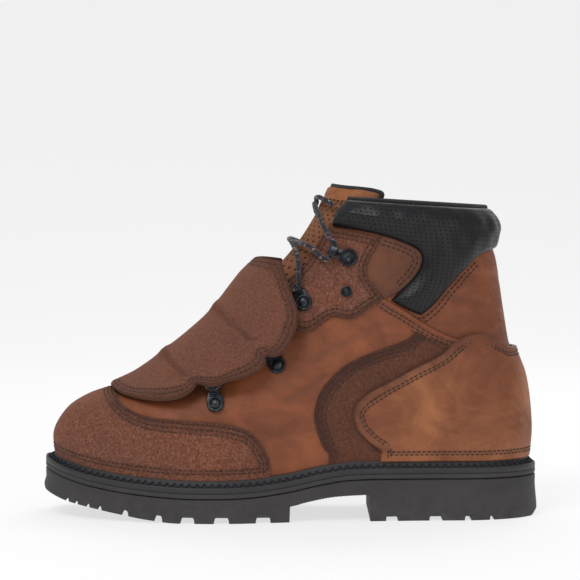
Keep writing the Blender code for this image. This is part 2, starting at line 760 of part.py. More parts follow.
def build_outsole(material):
    rings = []
    low_x, high_x = OUTER_EDGE[0][0], OUTER_EDGE[-1][0]
    for s in sole_stations():
        x = low_x + (high_x - low_x) * s
        outer, inner = edge_y(OUTER_EDGE, x), edge_y(INNER_EDGE, x)
        top = midsole_bottom(x) - GAP
        root = root_height(x)
        end = FLARE * (smooth_table(((0, 1), (0.1, 0.3), (0.2, 0), (0.8, 0), (0.9, 0.3), (1, 1)), s))
        shift = -end if s < 0.5 else end
        step = (top - root) * 0.28
        ring = [
            Vector((x, outer + EDGE_ROUND, top)),
            Vector((x, outer, top - EDGE_ROUND)),
            Vector((x, outer, top - step)),
            Vector((x + shift, outer + SIDE_LEDGE, top - step - SIDE_LEDGE_DROP)),
            Vector((x + shift, outer + SIDE_FOOT, root)),
            Vector((x + shift, inner - SIDE_FOOT, root)),
            Vector((x + shift, inner - SIDE_LEDGE, top - step - SIDE_LEDGE_DROP)),
            Vector((x, inner, top - step)),
            Vector((x, inner, top - EDGE_ROUND)),
            Vector((x, inner - EDGE_ROUND, top)),
        ]
        rings.append(ring)
    item = rows_to_closed("outsole", rings, material, ladder=True)
    face_out(item)
    lugs = build_lugs(material)
    join_solids(item, [lugs])
    return item


def lug_block(corners):
    """Faces of one lug from its plan corners, as lists of points: bottom then top."""
    bottom, top = [], []
    for x, y in corners:
        root = root_height(x)
        bottom.append(Vector((x, y, root - LUG_DEPTH)))
        top.append(Vector((x, y, root + LUG_SINK)))
    return bottom, top


def build_lugs(material):
    """All lugs in one mesh of separate blocks: edge lugs on both sides, centre lugs between them."""
    points, faces = [], []

    def add(corners):
        bottom, top = lug_block(corners)
        base, n = len(points), len(corners)
        points.extend(bottom + top)
        faces.append(tuple(range(base + n - 1, base - 1, -1)))
        faces.append(tuple(range(base + n, base + 2 * n)))
        for k in range(n):
            m = (k + 1) % n
            faces.append((base + k, base + m, base + n + m, base + n + k))

    for s_from, s_to in EDGE_LUGS:
        x_from, x_to = SOLE_FRONT + s_from * SOLE_LENGTH, SOLE_FRONT + s_to * SOLE_LENGTH
        xs = [x_from, (x_from + x_to) / 2, x_to]
        for edge, sign in ((OUTER_EDGE, 1), (INNER_EDGE, -1)):
            outside = [(x, edge_y(edge, x) + sign * LUG_INSET) for x in xs]
            middle = [(edge_y(OUTER_EDGE, x) + edge_y(INNER_EDGE, x)) / 2 for x in xs]
            tread = [edge_y(INNER_EDGE, x) - edge_y(OUTER_EDGE, x) for x in xs]
            width = [w * EDGE_LUG_WIDTH for w in tread]
            inner_side = [
                (x_from, outside[0][1] + sign * width[0]),
                (x_to, outside[2][1] + sign * width[2] * EDGE_LUG_FLARE),
            ]
            corners = outside + [inner_side[1], inner_side[0]]
            add(corners if sign > 0 else corners[::-1])
        # The centre lug takes what the edge lugs and the spaces beside it leave of the tread
        centre_share = 1 - 2 * EDGE_LUG_WIDTH * EDGE_LUG_FLARE - 2 * LUG_SPACE
        half = [w * centre_share / 2 for w in tread]
        drop = (x_to - x_from) * 0.15
        add([
            (x_from + drop, middle[0] - half[0]),
            (x_to - drop, middle[2] - half[2]),
            (x_to + drop, middle[2]),
            (x_to - drop, middle[2] + half[2]),
            (x_from + drop, middle[0] + half[0]),
        ])
    for s_from, s_to in ((0.018, 0.048), (0.917, 0.984)):
        x_from, x_to = SOLE_FRONT + s_from * SOLE_LENGTH, SOLE_FRONT + s_to * SOLE_LENGTH
        xs = [x_from, x_from * 0.8 + x_to * 0.2, (x_from + x_to) / 2, x_to]
        if s_from > 0.5:
            xs = [x_from, (x_from + x_to) / 2, x_from * 0.2 + x_to * 0.8, x_to]
        outside = [(x, edge_y(OUTER_EDGE, x) + LUG_INSET) for x in xs]
        inside_edge = [(x, edge_y(INNER_EDGE, x) - LUG_INSET) for x in xs]
        add(outside + inside_edge[::-1])
    item = new_object("lug_blocks", points, faces, material)
    face_out(item)
    return item


def build_insole(material):
    """A plate that fills the upper's inside at the bottom."""
    low, high = [], []
    for theta in ring_angles(COLUMNS):
        wall = surface(theta, 0) - surface_normal(theta, 0) * (WALL + GAP * 3)
        base = midsole_top(wall.x) + GAP
        low.append(Vector((wall.x, wall.y, base)))
        high.append(Vector((wall.x, wall.y, base + INSOLE_THICKNESS)))
    return build_strip_plate("insole", [low, high], material)


def lip_level(theta):
    """The level at which the upper's face clears the welt's lip."""
    low, high = 0.0, 2.0
    for _ in range(24):
        middle = (low + high) / 2
        point = surface(theta, middle)
        if point.z < welt_top(point.x) + LIP_HEIGHT + GAP * 5:
            low = middle
        else:
            high = middle
    return high


def lip_row(i):
    return row_at(lip_level(2 * math.pi * i / COLUMNS))


def lip_run(i_from, i_to):
    """Places along the top of the welt's lip, between two columns."""
    count = max(2, round(abs(i_to - i_from)))
    run = []
    for k in range(count + 1):
        i = i_from + (i_to - i_from) * k / count
        run.append(Vector((i, lip_row(i))))
    return run


def places(net, rows, side):
    return [Vector(net.place(along, level, side)) for along, level in rows]


def mirrored(net, line, about):
    """The same places on the inner side: about is 0 for the front and COLUMNS for the back."""
    return [Vector((about - p.x, p.y)) for p in reversed(line)]


def build_toe_cap(net, material):
    seam = curve_through(places(net, TOE_CAP_SEAM, 1), OUTLINE_STEP)
    seam.append(Vector((0, row_at(TOE_CAP_SEAM[-1][1]))))
    inner_side = mirrored(net, seam[:-1], 0)
    bottom = lip_run(-seam[0].x, seam[0].x)
    loop = seam + inner_side + bottom[1:-1]
    loop[0].y = max(loop[0].y, lip_row(loop[0].x))
    return panel("toe_cap", net, loop[::-1], flat_offset(GAP), flat_offset(GAP + OVERLAY), material)


def flap_gap(net, i, j):
    """How far the flap's underside stands off the upper at a place: nothing at its sewn front edge."""
    x = net.at(i, j, 0).x
    ramp = smooth_table(((0.0, 0.0), (0.15, 0.10), (0.5, 0.58), (0.85, 0.95), (1.0, 1.0)),
                        ((x - TOE_X) / UPPER_LENGTH - 0.108) / 0.36)
    sideways = 1 + 0.36 * min(abs(i) / 8, 1)
    return GAP * 2 + FLAP_LIFT * ramp * sideways


def build_met_guard(net, material):
    outer_side = []
    for run in (FLAP_FRONT, FLAP_LOBE_LOW, FLAP_LOBE_MID, FLAP_LOBE_HIGH):
        outer_side += curve_through(places(net, run, 1), OUTLINE_STEP)[:-1]
    outer_side[0].x = 0
    corner = places(net, [FLAP_LOBE_HIGH[-1]], 1)[0]
    top = [corner, Vector((corner.x * 0.5, corner.y - 0.10)), Vector((0, corner.y - 0.14))]
    half = outer_side + top
    loop = half + mirrored(net, half[1:-1], 0)

    def thickness(i, j):
        x = net.at(i, j, 0).x
        share = ((x - TOE_X) / UPPER_LENGTH - 0.108) / 0.12
        return OVERLAY + (FLAP_THICKNESS - OVERLAY) * min(max(share, 0.0), 1.0)

    def inner(i, j, d):
        return flap_gap(net, i, j)

    def outer(i, j, d):
        return flap_gap(net, i, j) + thickness(i, j)

    return panel("met_guard", net, loop, inner, outer, material)


def build_counter(net, material):
    front = curve_through(places(net, COUNTER_FRONT, 1), OUTLINE_STEP)
    top = curve_through(places(net, COUNTER_TOP, 1), OUTLINE_STEP)
    half = front[:-1] + top
    back = Vector((COLUMNS / 2, row_at(COUNTER_BACK_LEVEL)))
    half[0].y = lip_row(half[0].x)
    other = mirrored(net, half, COLUMNS)
    bottom = lip_run(COLUMNS - half[0].x, half[0].x)
    loop = half + [back] + other + bottom[1:-1]
    return panel("counter", net, loop[::-1], flat_offset(GAP), flat_offset(GAP + OVERLAY), material)


def side_panel(name, net, line, side, inner, outer, material):
    if side < 0:
        line = [Vector((COLUMNS - p.x, p.y)) for p in reversed(line)]
    return panel(name, net, line, inner, outer, material)


def build_straps(net, material):
    front = curve_through(places(net, STRAP_FRONT, 1), OUTLINE_STEP)
    front[0].y = lip_row(front[0].x)
    top = curve_through(places(net, STRAP_TOP, 1), OUTLINE_STEP)
    rear = curve_through(places(net, COUNTER_FRONT, 1), OUTLINE_STEP)
    rear = [Vector((p.x - SEAM_GAP, p.y)) for p in rear[1:-1]]
    foot = Vector((rear[0].x + STRAP_FOOT_LEAN, 0))
    foot.y = lip_row(foot.x)
    loop = front[:-1] + top[:-1] + rear[::-1] + [foot]
    for name, side in (("strap_outer", 1), ("strap_inner", -1)):
        side_panel(name, net, loop, side, flat_offset(GAP), flat_offset(GAP + OVERLAY), material)


def build_eyestays(net, material):
    line = []
    for run in (EYESTAY_LOW[::-1], EYESTAY_BACK[::-1], EYESTAY_TOP[::-1]):
        line += curve_through(places(net, run, 1), OUTLINE_STEP)[:-1]
    line += [Vector((SEAM_GAP, row_at(level))) for level in EYESTAY_FRONT_LEVELS]
    for name, side in (("eyestay_outer", 1), ("eyestay_inner", -1)):
        side_panel(name, net, line, side, flat_offset(GAP), flat_offset(GAP + OVERLAY), material)


def build_pad(net, material):
    half = [Vector((COLUMNS / 2, row_at(PAD_BACK_LEVEL)))]
    for run in (PAD_TAIL, PAD_FOOT, PAD_INNER):
        half += curve_through(places(net, run, 1), OUTLINE_STEP)[:-1]
    half += places(net, [PAD_INNER[-1]], 1)
    half += [Vector((PAD_TIP_BACK, row_at(PAD_TIP_LEVEL))), Vector((SEAM_GAP, row_at(10.3)))]
    half.append(Vector((SEAM_GAP, net.rows - 1)))
    top = [Vector((i, net.rows - 1)) for i in range(1, COLUMNS)]
    loop = half + top + [Vector((COLUMNS - p.x, p.y)) for p in reversed(half[1:])]

    def outer(i, j, d):
        return GAP + PAD_EDGE + PAD_SWELL * math.sin(min(d / 1.6, 1.0) * math.pi / 2)

    return panel("collar_pad", net, loop[::-1], flat_offset(GAP), outer, material)


def column_at(level, back):
    """The column of the closed net that lies a share of UPPER_LENGTH behind the front."""
    front, rear = front_point(level), back_point(level)
    length = math.hypot(rear[0] - front[0], rear[1] - front[1])
    return math.acos(1 - 2 * min(back * UPPER_LENGTH / length, 1)) / (2 * math.pi) * COLUMNS


def build_tongue(net, material):
    side = [Vector((column_at(level, back), row_at(level))) for level, back in TONGUE_EDGE]
    side = curve_through(side, 1.0)
    loop = side + [Vector((-p.x, p.y)) for p in reversed(side)]

    def outer(i, j, d):
        level = level_at(j)
        edge = slit_angle(level - 0.8) / (2 * math.pi) * COLUMNS
        low = -(WALL + TONGUE_CLEARANCE)
        if edge <= 0.6:
            return low
        share = min(max((edge - 0.6 - abs(i)) / edge, 0.0), 1.0)
        return low - low * math.sin(share * math.pi / 2)

    def inner(i, j, d):
        return outer(i, j, d) - TONGUE_THICKNESS

    return panel("tongue", net, loop, inner, outer, material)


def true_place(along, level, side):
    """The angle of a place on the surface itself."""
    front, back = front_point(level), back_point(level)
    t = min(max((TOE_X + along * UPPER_LENGTH - front[0]) / (back[0] - front[0]), 0.0), 1.0)
    return side * math.acos(1 - 2 * t)


def seat_frame(seat, aim, side, lift):
    """Origin and axes of a piece that sits on the upper: along its length, across it, and out."""
    theta = true_place(*seat, side)
    origin = surface(theta, seat[1])
    out = surface_normal(theta, seat[1])
    towards = surface(true_place(*aim, side), aim[1]) - origin
    length = (towards - out * towards.dot(out)).normalized()
    return origin + out * lift, length, out.cross(length), out


def in_frame(frame, u, v, w):
    origin, length, across, out = frame
    return origin + length * u + across * v + out * w


def prism(name, frame, outline, low, high, material):
    """A flat plate in a seat's frame, from its outline along and across."""
    rings = [[in_frame(frame, u, v, w) for u, v in outline] for w in (low, high)]
    item = rows_to_closed(name, rings, material)
    face_out(item)
    return item


def profile_bar(name, frame, profile, half, material):
    """A bar bent in a seat's length and height, with one width."""
    rings = [[in_frame(frame, u, v, w) for u, w in profile] for v in (-half, half)]
    item = rows_to_closed(name, rings, material)
    face_out(item)
    return item


def dome(name, frame, radius, low, height, material, sides=8):
    rings = []
    for share, up in ((1.0, 0.0), (1.0, 0.3), (0.6, 1.0)):
        ring = []
        for k in range(sides):
            a = 2 * math.pi * k / sides
            reach = radius * share
            ring.append(in_frame(frame, reach * math.cos(a), reach * math.sin(a), low + height * up))
        rings.append(ring)
    item = rows_to_closed(name, rings, material)
    face_out(item)
    return item


def wire_loop(name, frame, centre, radius, wire, material, turns=8, sides=4):
    rings = []
    for k in range(turns):
        a = 2 * math.pi * k / turns
        ring = []
        for m in range(sides):
            b = 2 * math.pi * m / sides
            reach = radius + wire / 2 * math.cos(b)
            ring.append(in_frame(frame, centre[0] + reach * math.cos(a), wire / 2 * math.sin(b),
                                 centre[1] + reach * math.sin(a)))
        rings.append(ring)
    item = torus_of_rings(name, rings, material)
    face_out(item)
    return item


def ring_outline():
    half = RING_WIDTH / 2
    turns = [math.pi / 2 + math.pi * k / 6 for k in range(7)]
    line = [(half * math.cos(a), half * math.sin(a)) for a in turns]
    line += [(RING_REACH * 0.55, -half * 0.98), (RING_REACH, -half * 0.72)]
    return line + [(RING_REACH, half * 0.72), (RING_REACH * 0.55, half * 0.98)]


def build_rings(material):
    loops = {}
    for number, (seat, aim) in enumerate(RING_SEATS, 1):
        on_eyestay = number == len(RING_SEATS)
        lift = PLATE_SEAT + (GAP + OVERLAY if on_eyestay else 0)
        for word, side in (("outer", 1), ("inner", -1)):
            frame = seat_frame(seat, aim, side, lift)
            name = f"ring_{number}_{word}"
            plate = prism(name, frame, ring_outline(), 0.0, RING_PLATE, material)
            low = RING_PLATE * 0.5
            rivet = dome(name + "_rivet", frame, RIVET_DIAMETER / 2, low, RIVET_HEIGHT, material)
            seat_of_loop = (RING_REACH, LOOP_HEIGHT)
            loop = wire_loop(name + "_loop", frame, seat_of_loop, LOOP_RADIUS, LOOP_WIRE, material)
            join_solids(plate, [rivet, loop])
            loops[number, side] = (frame, RING_REACH, LOOP_HEIGHT, LACE_DIAMETER)
    return loops


def build_hooks(material):
    loops = {}
    for word, side in (("outer", 1), ("inner", -1)):
        frame = seat_frame(*HOOK_SEAT, side, PLATE_SEAT + GAP + OVERLAY)
        t, reach, rise = RING_PLATE, HOOK_REACH, HOOK_RISE
        bend, inner_bend, lip, tilt = HOOK_BEND, HOOK_BEND * 1.3, reach - HOOK_LIP, HOOK_TILT
        profile = [
            (-HOOK_FOOT, 0), (reach - bend, 0), (reach, bend),
            (reach, rise - bend), (reach - bend, rise), (lip, rise + tilt),
            (lip, rise - t + tilt), (reach - inner_bend, rise - t), (reach - t, rise - inner_bend),
            (reach - t, inner_bend), (reach - inner_bend, t), (-HOOK_FOOT, t),
        ]
        plate = profile_bar(f"hook_{word}", frame, profile, HOOK_HALF, material)
        half = HOOK_WIDTH / 2
        turns = [2 * math.pi * k / HOOK_SIDES for k in range(HOOK_SIDES)]
        disc = [(half * math.cos(a), half * math.sin(a)) for a in turns]
        round_plate = prism(f"hook_{word}_disc", frame, disc, DISC_FOOT, RING_PLATE * 1.25, material)
        rivet = dome(f"hook_{word}_rivet", frame, RIVET_DIAMETER / 2, RING_PLATE, RIVET_HEIGHT, material)
        join_solids(plate, [round_plate, rivet])
        turn = HOOK_HALF + LACE_DIAMETER / 2 + GAP * 2
        loops["hook", side] = (frame, reach - HOOK_LIP / 2, RING_PLATE + LACE_DIAMETER / 2 + GAP, turn)
        stud = seat_frame(*STUD_SEAT, side, PLATE_SEAT + GAP + OVERLAY)
        dome(f"stud_{word}", stud, STUD_DIAMETER / 2, 0.0, 0.0021, material, sides=10)
    return loops


def tube(name, path, radius, material, sides=4):
    """A round bar along a path of points."""
    rings = []
    normal = None
    for k, point in enumerate(path):
        ahead = path[min(k + 1, len(path) - 1)] - path[max(k - 1, 0)]
        tangent = ahead.normalized()
        if normal is None:
            normal = tangent.orthogonal().normalized()
        normal = (normal - tangent * normal.dot(tangent)).normalized()
        other = tangent.cross(normal)
        rings.append([point + (normal * math.cos(a) + other * math.sin(a)) * radius
                      for a in [2 * math.pi * m / sides for m in range(sides)]])
    item = rows_to_closed(name, rings, material)
    face_out(item)
    return item


def turn_points(loop):
    """The lace's way through a ring or round a hook: in over the front, across, and back out."""
    frame, reach, height, half = loop
    turn = [(0.0044, half + 0.0010), (0.0014, half), (0.0, half * 0.42)]
    way = [in_frame(frame, reach + u, -v, height) for u, v in turn]
    way += [in_frame(frame, reach + u, v, height) for u, v in reversed(turn)]
    return way if way[0].x < way[-1].x else way[::-1]


def lace_run(skin, start, end, lift_start, lift_end, bow=LACE_BOW):
    """Points that lie over the front between a place on one side and a place on the other."""
    count = max(3, round((end - start).length / LACE_STEP))
    over = Vector((-0.6, 0, 0.8))
    run = []
    for k in range(1, count):
        f = k / count
        above = start.lerp(end, f) + over * (end - start).length * bow * math.sin(math.pi * f) ** 0.7
        spot, out, _, _ = skin.find_nearest(above)
        lift = lift_start if f < 0.5 else lift_end
        run.append(spot + out * (LACE_DIP + (lift - LACE_DIP) * abs(2 * f - 1)))
    return run


def net_skin(net):
    """The closed net's facets, to find the nearest place on the upper."""
    points, faces = [p for row in net.points for p in row], []
    wide = COLUMNS + 1
    for j in range(net.rows - 1):
        for i in range(COLUMNS):
            here = j * wide + i
            faces += [(here, here + 1, here + wide + 1), (here, here + wide + 1, here + wide)]
    return BVHTree.FromPolygons(points, faces)


def build_lace(net, loops, material):
    """Two strands that cross over the tongue, with a bar between the lowest rings."""
    skin = net_skin(net)
    low_lift = PLATE_SEAT + LOOP_HEIGHT
    high_lift = low_lift + GAP * 4 + OVERLAY
    order = [(1, low_lift), (2, low_lift), (3, high_lift), ("hook", high_lift)]
    crossing = surface(0, LACE_CROSSING_LEVEL) + surface_normal(0, LACE_CROSSING_LEVEL) * LACE_DIP * 0.5

    def strand(first_side, with_bar):
        side = first_side
        way = turn_points(loops[1, side])
        if with_bar:
            other = turn_points(loops[1, -side])
            path = other[3::-1] + lace_run(skin, other[0], way[0], low_lift, low_lift) + way
        else:
            path = way[3:]
        for number, lift in order[1:]:
            way = turn_points(loops[number, -side])
            path += lace_run(skin, path[-1], way[0], lift, lift) + way
            side = -side
        angle = true_place(*LACE_ENDS, -side)
        end = surface(angle, LACE_ENDS[1]) + surface_normal(angle, LACE_ENDS[1]) * LACE_END_LIFT
        path += lace_run(skin, path[-1], crossing, high_lift, LACE_DIP, LACE_TOP_BOW) + [crossing]
        return path + lace_run(skin, crossing, end, LACE_DIP, LACE_DIP, LACE_TOP_BOW) + [end]

    first = tube("lace", strand(1, True), LACE_DIAMETER / 2, material)
    second = tube("lace_other_strand", strand(-1, False), LACE_DIAMETER / 2, material)
    join_solids(first, [second])
    return first


LEATHER = make_material("leather", (0.30, 0.10, 0.035), 0.55)
SUEDE = make_material("suede", (0.16, 0.060, 0.035), 0.9)
RUBBER = make_material("rubber", (0.035, 0.032, 0.033), 0.7)
WELT_RUBBER = make_material("welt_rubber", (0.030, 0.028, 0.030), 0.65)
BLACK_PAD = make_material("black_pad", (0.016, 0.016, 0.020), 0.5)
LINING = make_material("lining", (0.02, 0.02, 0.022), 0.9)
BLACK_METAL = make_material("black_metal", (0.012, 0.012, 0.013), 0.35, 1.0)
LACE_CORD = make_material("lace_cord", (0.03, 0.03, 0.034), 0.85)


UPPER_NET = Net(COLLAR_LEVEL, True)
build_upper(UPPER_NET, LEATHER)
build_welt(WELT_RUBBER)
build_midsole(RUBBER)
build_outsole(RUBBER)
build_insole(LINING)
CLOSED_NET = Net(len(SECTIONS) - 1, False)
build_tongue(CLOSED_NET, LEATHER)
build_toe_cap(UPPER_NET, SUEDE)
build_met_guard(CLOSED_NET, SUEDE)
build_counter(UPPER_NET, LEATHER)
build_straps(UPPER_NET, SUEDE)
build_eyestays(UPPER_NET, SUEDE)
build_pad(UPPER_NET, BLACK_PAD)
LOOPS = build_rings(BLACK_METAL)
LOOPS.update(build_hooks(BLACK_METAL))
build_lace(CLOSED_NET, LOOPS, LACE_CORD)
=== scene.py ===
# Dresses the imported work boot: hides, seams, stitches, moulded sole, black hardware and lace.
# Toe towards -X, outer side towards -Y, +Z up. Places on the boot are (share of its length, level of its surface).
import math

import bmesh
import bpy
import numpy as np
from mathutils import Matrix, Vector, kdtree
from mathutils.bvhtree import BVHTree
from mathutils.geometry import delaunay_2d_cdt


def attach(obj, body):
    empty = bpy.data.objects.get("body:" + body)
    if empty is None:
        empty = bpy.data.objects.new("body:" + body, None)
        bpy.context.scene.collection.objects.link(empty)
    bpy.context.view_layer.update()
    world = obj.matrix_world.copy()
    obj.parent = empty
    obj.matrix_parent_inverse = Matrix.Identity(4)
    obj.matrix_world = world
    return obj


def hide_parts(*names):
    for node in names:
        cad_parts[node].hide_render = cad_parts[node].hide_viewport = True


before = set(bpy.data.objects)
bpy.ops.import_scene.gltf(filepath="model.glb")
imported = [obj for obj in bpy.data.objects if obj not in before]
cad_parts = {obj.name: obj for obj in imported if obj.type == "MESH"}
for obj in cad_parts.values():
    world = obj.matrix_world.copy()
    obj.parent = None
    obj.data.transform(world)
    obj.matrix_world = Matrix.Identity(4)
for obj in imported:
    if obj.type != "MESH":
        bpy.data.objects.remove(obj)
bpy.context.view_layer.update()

# The last: sizes in metres, the same ones that the frame was built from
last = {
    "length": 0.2900, "ball": 0.1040, "waist": 0.0800, "heel": 0.0720, "instep": 0.0840, "collar": 0.1665,
    "back": 0.1610, "swing": 0.0080, "wall": 0.0024, "gap": 0.0003,
}
sole = {
    "stack": 0.0212, "heelLift": 0.0107, "toeRise": 0.0143, "toeSpring": 0.0155, "edge": 0.0070, "welt": 0.0032,
    "lip": 0.0048, "midsole": 0.0028, "lug": 0.0052, "arch": 0.0095, "breast": 0.0160,
    "insole": 0.0030,
}
sectionNames = "along instep shaft backAlong back ball waist heel nose power tail slit".split()
sections = [
    (0.000, 0.000, 0.000, 1.000, 0.000, 0.962, 0.95, 0.93, 0.32, 2.25, 0.140, 0.000),
    (-0.007, 0.208, 0.000, 1.008, 0.146, 1.000, 1.00, 1.00, 0.32, 2.25, 0.140, 0.000),
    (0.019, 0.405, 0.000, 1.006, 0.220, 0.975, 1.00, 1.00, 0.31, 2.15, 0.140, 0.000),
    (0.064, 0.518, 0.000, 1.002, 0.289, 0.935, 0.99, 0.98, 0.33, 2.05, 0.140, 0.000),
    (0.150, 0.619, 0.000, 0.995, 0.357, 0.880, 0.97, 0.95, 0.37, 2.00, 0.140, 0.000),
    (0.237, 0.774, 0.000, 0.982, 0.422, 0.840, 0.95, 0.92, 0.37, 2.00, 0.140, 0.000),
    (0.324, 1.000, 0.000, 0.968, 0.488, 0.800, 0.93, 0.89, 0.33, 2.00, 0.140, 0.000),
    (0.412, 1.000, 0.315, 0.958, 0.593, 0.770, 0.92, 0.88, 0.28, 2.00, 0.145, 0.050),
    (0.484, 1.000, 0.525, 0.949, 0.699, 0.750, 0.91, 0.88, 0.23, 2.00, 0.150, 0.046),
    (0.527, 1.000, 0.710, 0.940, 0.804, 0.740, 0.90, 0.89, 0.19, 2.00, 0.155, 0.036),
    (0.551, 1.000, 0.870, 0.922, 0.910, 0.740, 0.89, 0.90, 0.17, 2.00, 0.160, 0.041),
    (0.568, 1.000, 1.000, 0.918, 1.000, 0.740, 0.88, 0.91, 0.16, 2.00, 0.160, 0.051),
    (0.582, 1.000, 1.100, 0.918, 1.053, 0.740, 0.88, 0.91, 0.16, 2.00, 0.160, 0.060),
]
throatLevel, collarLevel, tongueLevel = 6.0, 11.0, 12.0
stationAlong = (0.10, 0.33, 0.56, 0.75, 0.90)
swingCurve = ((0.00, 1.00), (0.15, 0.62), (0.33, -0.05), (0.56, -0.35), (0.80, 0.00), (1.00, 0.00))
toeCurve = ((0.00, 1.00), (0.05, 0.66), (0.106, 0.39), (0.208, 0.11), (0.31, 0.00), (1.00, 0.00))
heelCurve = ((0.00, 0.00), (0.36, 0.00), (0.42, 0.06), (0.50, 0.34), (0.56, 0.70), (0.62, 0.96), (0.67, 1), (1, 1))
springCurve = ((0.00, 1.00), (0.05, 0.68), (0.114, 0.44), (0.167, 0.26), (0.216, 0.11), (0.28, 0.00), (1.00, 0.00))
edgeCurve = ((0.00, 1.25), (0.12, 1.15), (0.30, 1.00), (0.55, 0.90), (0.72, 0.90), (0.90, 1.00), (1.00, 1.10))
soleLength = last["length"] + sole["edge"] * (edgeCurve[0][1] + edgeCurve[-1][1])
soleFront = -soleLength / 2
toeX = soleFront + sole["edge"] * edgeCurve[0][1]


def readCurve(places, values, x):
    # Smooth reading of a table that never overshoots; values may differ from point to point
    places, x = np.asarray(places, float), np.asarray(x, float)
    values = np.broadcast_to(np.asarray(values, float), x.shape + (len(places),))
    wide = np.diff(places)
    slope = np.diff(values, axis=-1) / wide
    a, b = slope[..., :-1], slope[..., 1:]
    middle = np.where(a * b > 0, 2 * a * b / np.where(a + b == 0, 1, a + b), 0)
    tangent = np.concatenate([slope[..., :1], middle, slope[..., -1:]], axis=-1)
    x = np.clip(x, places[0], places[-1])
    k = np.clip(np.searchsorted(places, x, side="right") - 1, 0, len(places) - 2)
    t = (x - places[k]) / wide[k]

    def pick(rows, where):
        return np.take_along_axis(rows, where[..., None], -1)[..., 0]

    low, high = pick(values, k), pick(values, k + 1)
    start, end = pick(tangent, k) * wide[k], pick(tangent, k + 1) * wide[k]
    return ((2 * t**3 - 3 * t**2 + 1) * low + (t**3 - 2 * t**2 + t) * start
            + (3 * t**2 - 2 * t**3) * high + (t**3 - t**2) * end)


def curveAt(rows, x):
    return readCurve([r[0] for r in rows], [r[1] for r in rows], x)


def section(level, name):
    k = sectionNames.index(name)
    return readCurve(range(len(sections)), [row[k] for row in sections], level)


def soleShare(x):
    return (x - soleFront) / soleLength


def weltTop(x):
    s = soleShare(x)
    return sole["stack"] + sole["toeRise"] * curveAt(toeCurve, s) + sole["heelLift"] * curveAt(heelCurve, s)


def midsoleTop(x):
    return weltTop(x) - sole["welt"]


def frontPoint(level):
    base = midsoleTop(np.array(toeX)) + last["gap"]
    shaft = section(level, "shaft") * (last["collar"] - last["instep"])
    return toeX + section(level, "along") * last["length"], base + section(level, "instep") * last["instep"] + shaft


def backPoint(level):
    base = midsoleTop(np.array(toeX + last["length"])) + last["gap"]
    return toeX + section(level, "backAlong") * last["length"], base + section(level, "back") * last["back"]


def rounded(q, power):
    return (1 - (1 - np.clip(q, 0, 1)) ** power) ** (1 / power)


def lastSurface(theta, level):
    # The last's own face: theta 0 is the front ridge, pi the back, positive the outer side
    theta, level = np.broadcast_arrays(np.asarray(theta, float), np.asarray(level, float))
    level = np.clip(level, 0, tongueLevel)
    fx, fz = frontPoint(level)
    bx, bz = backPoint(level)
    t = (1 - np.cos(theta)) / 2
    x = fx + (bx - fx) * t
    long = np.hypot(bx - fx, bz - fz)
    along = (x - toeX) / last["length"]
    ball = section(level, "ball") * last["ball"] / 2
    waist = section(level, "waist") * last["waist"] / 2
    heel = section(level, "heel") * last["heel"] / 2
    half = readCurve(stationAlong, np.stack([ball * 0.97, ball, waist, (waist + heel) / 2, heel], -1), along)
    half = half * rounded(long * t / (section(level, "nose") * last["length"]), section(level, "power"))
    half = half * rounded(long * (1 - t) / (section(level, "tail") * last["length"]), 2.0)
    middle = last["swing"] * curveAt(swingCurve, along) * (1 - 0.6 * np.minimum(level / collarLevel, 1))
    fade = np.clip(1 - level / throatLevel, 0, 1) ** 2
    toe, back = frontPoint(np.array(0.0)), backPoint(np.array(0.0))
    plane = toe[1] + (back[1] - toe[1]) * np.clip((x - toe[0]) / (back[0] - toe[0]), 0, 1)
    z = fz + (bz - fz) * t + (midsoleTop(x) + last["gap"] - plane) * fade
    return np.stack([x, middle - np.where(np.sin(theta) >= 0, 1, -1) * half, z], -1)


def unit(v):
    return v / np.maximum(np.linalg.norm(v, axis=-1, keepdims=True), 1e-12)


def lastNormal(theta, level, turn=0.012, rise=0.06):
    low, high = np.clip(level - rise, 0, tongueLevel), np.clip(level + rise, 0, tongueLevel)
    across = lastSurface(theta + turn, level) - lastSurface(theta - turn, level)
    return unit(np.cross(across, lastSurface(theta, high) - lastSurface(theta, low)))


def onLast(places):
    return lastSurface(places[:, 0], places[:, 1])


def outOf(places):
    return lastNormal(places[:, 0], places[:, 1])


bothSides = (("Outer", 1), ("Inner", -1))

# Creases pressed into the leather: (share of length, level) from and to, depth, width, how much it bows
creases = {
    "outer": [
        ((0.47, 2.9), (0.575, 4.6), 0.0009, 0.0055, 0.010), ((0.50, 2.2), (0.60, 4.0), 0.0005, 0.0045, -0.008),
        ((0.53, 5.0), (0.66, 6.4), 0.0006, 0.0060, 0.006), ((0.80, 7.6), (0.93, 7.2), 0.0008, 0.0060, 0.006),
        ((0.83, 8.3), (0.95, 8.3), 0.0006, 0.0050, -0.005), ((0.70, 8.0), (0.75, 8.9), 0.0004, 0.0040, 0.004),
        ((0.86, 2.2), (0.96, 3.2), 0.0004, 0.0070, 0.006), ((0.45, 1.5), (0.53, 2.3), 0.0004, 0.0050, 0.004),
    ],
    "inner": [
        ((0.46, 3.0), (0.56, 4.8), 0.0009, 0.0055, -0.010), ((0.49, 2.1), (0.60, 3.9), 0.0005, 0.0045, 0.008),
        ((0.79, 7.5), (0.93, 7.3), 0.0008, 0.0060, -0.006), ((0.84, 8.4), (0.95, 8.2), 0.0006, 0.0050, 0.005),
        ((0.86, 2.0), (0.96, 3.0), 0.0004, 0.0070, -0.006), ((0.52, 5.1), (0.66, 6.5), 0.0006, 0.0060, 0.006),
    ],
}


def angleAt(along, level, side=1):
    level = np.asarray(level, float)
    fx, bx = frontPoint(level)[0], backPoint(level)[0]
    t = np.clip((toeX + np.asarray(along, float) * last["length"] - fx) / (bx - fx), 0, 1)
    return side * np.arccos(1 - 2 * t)


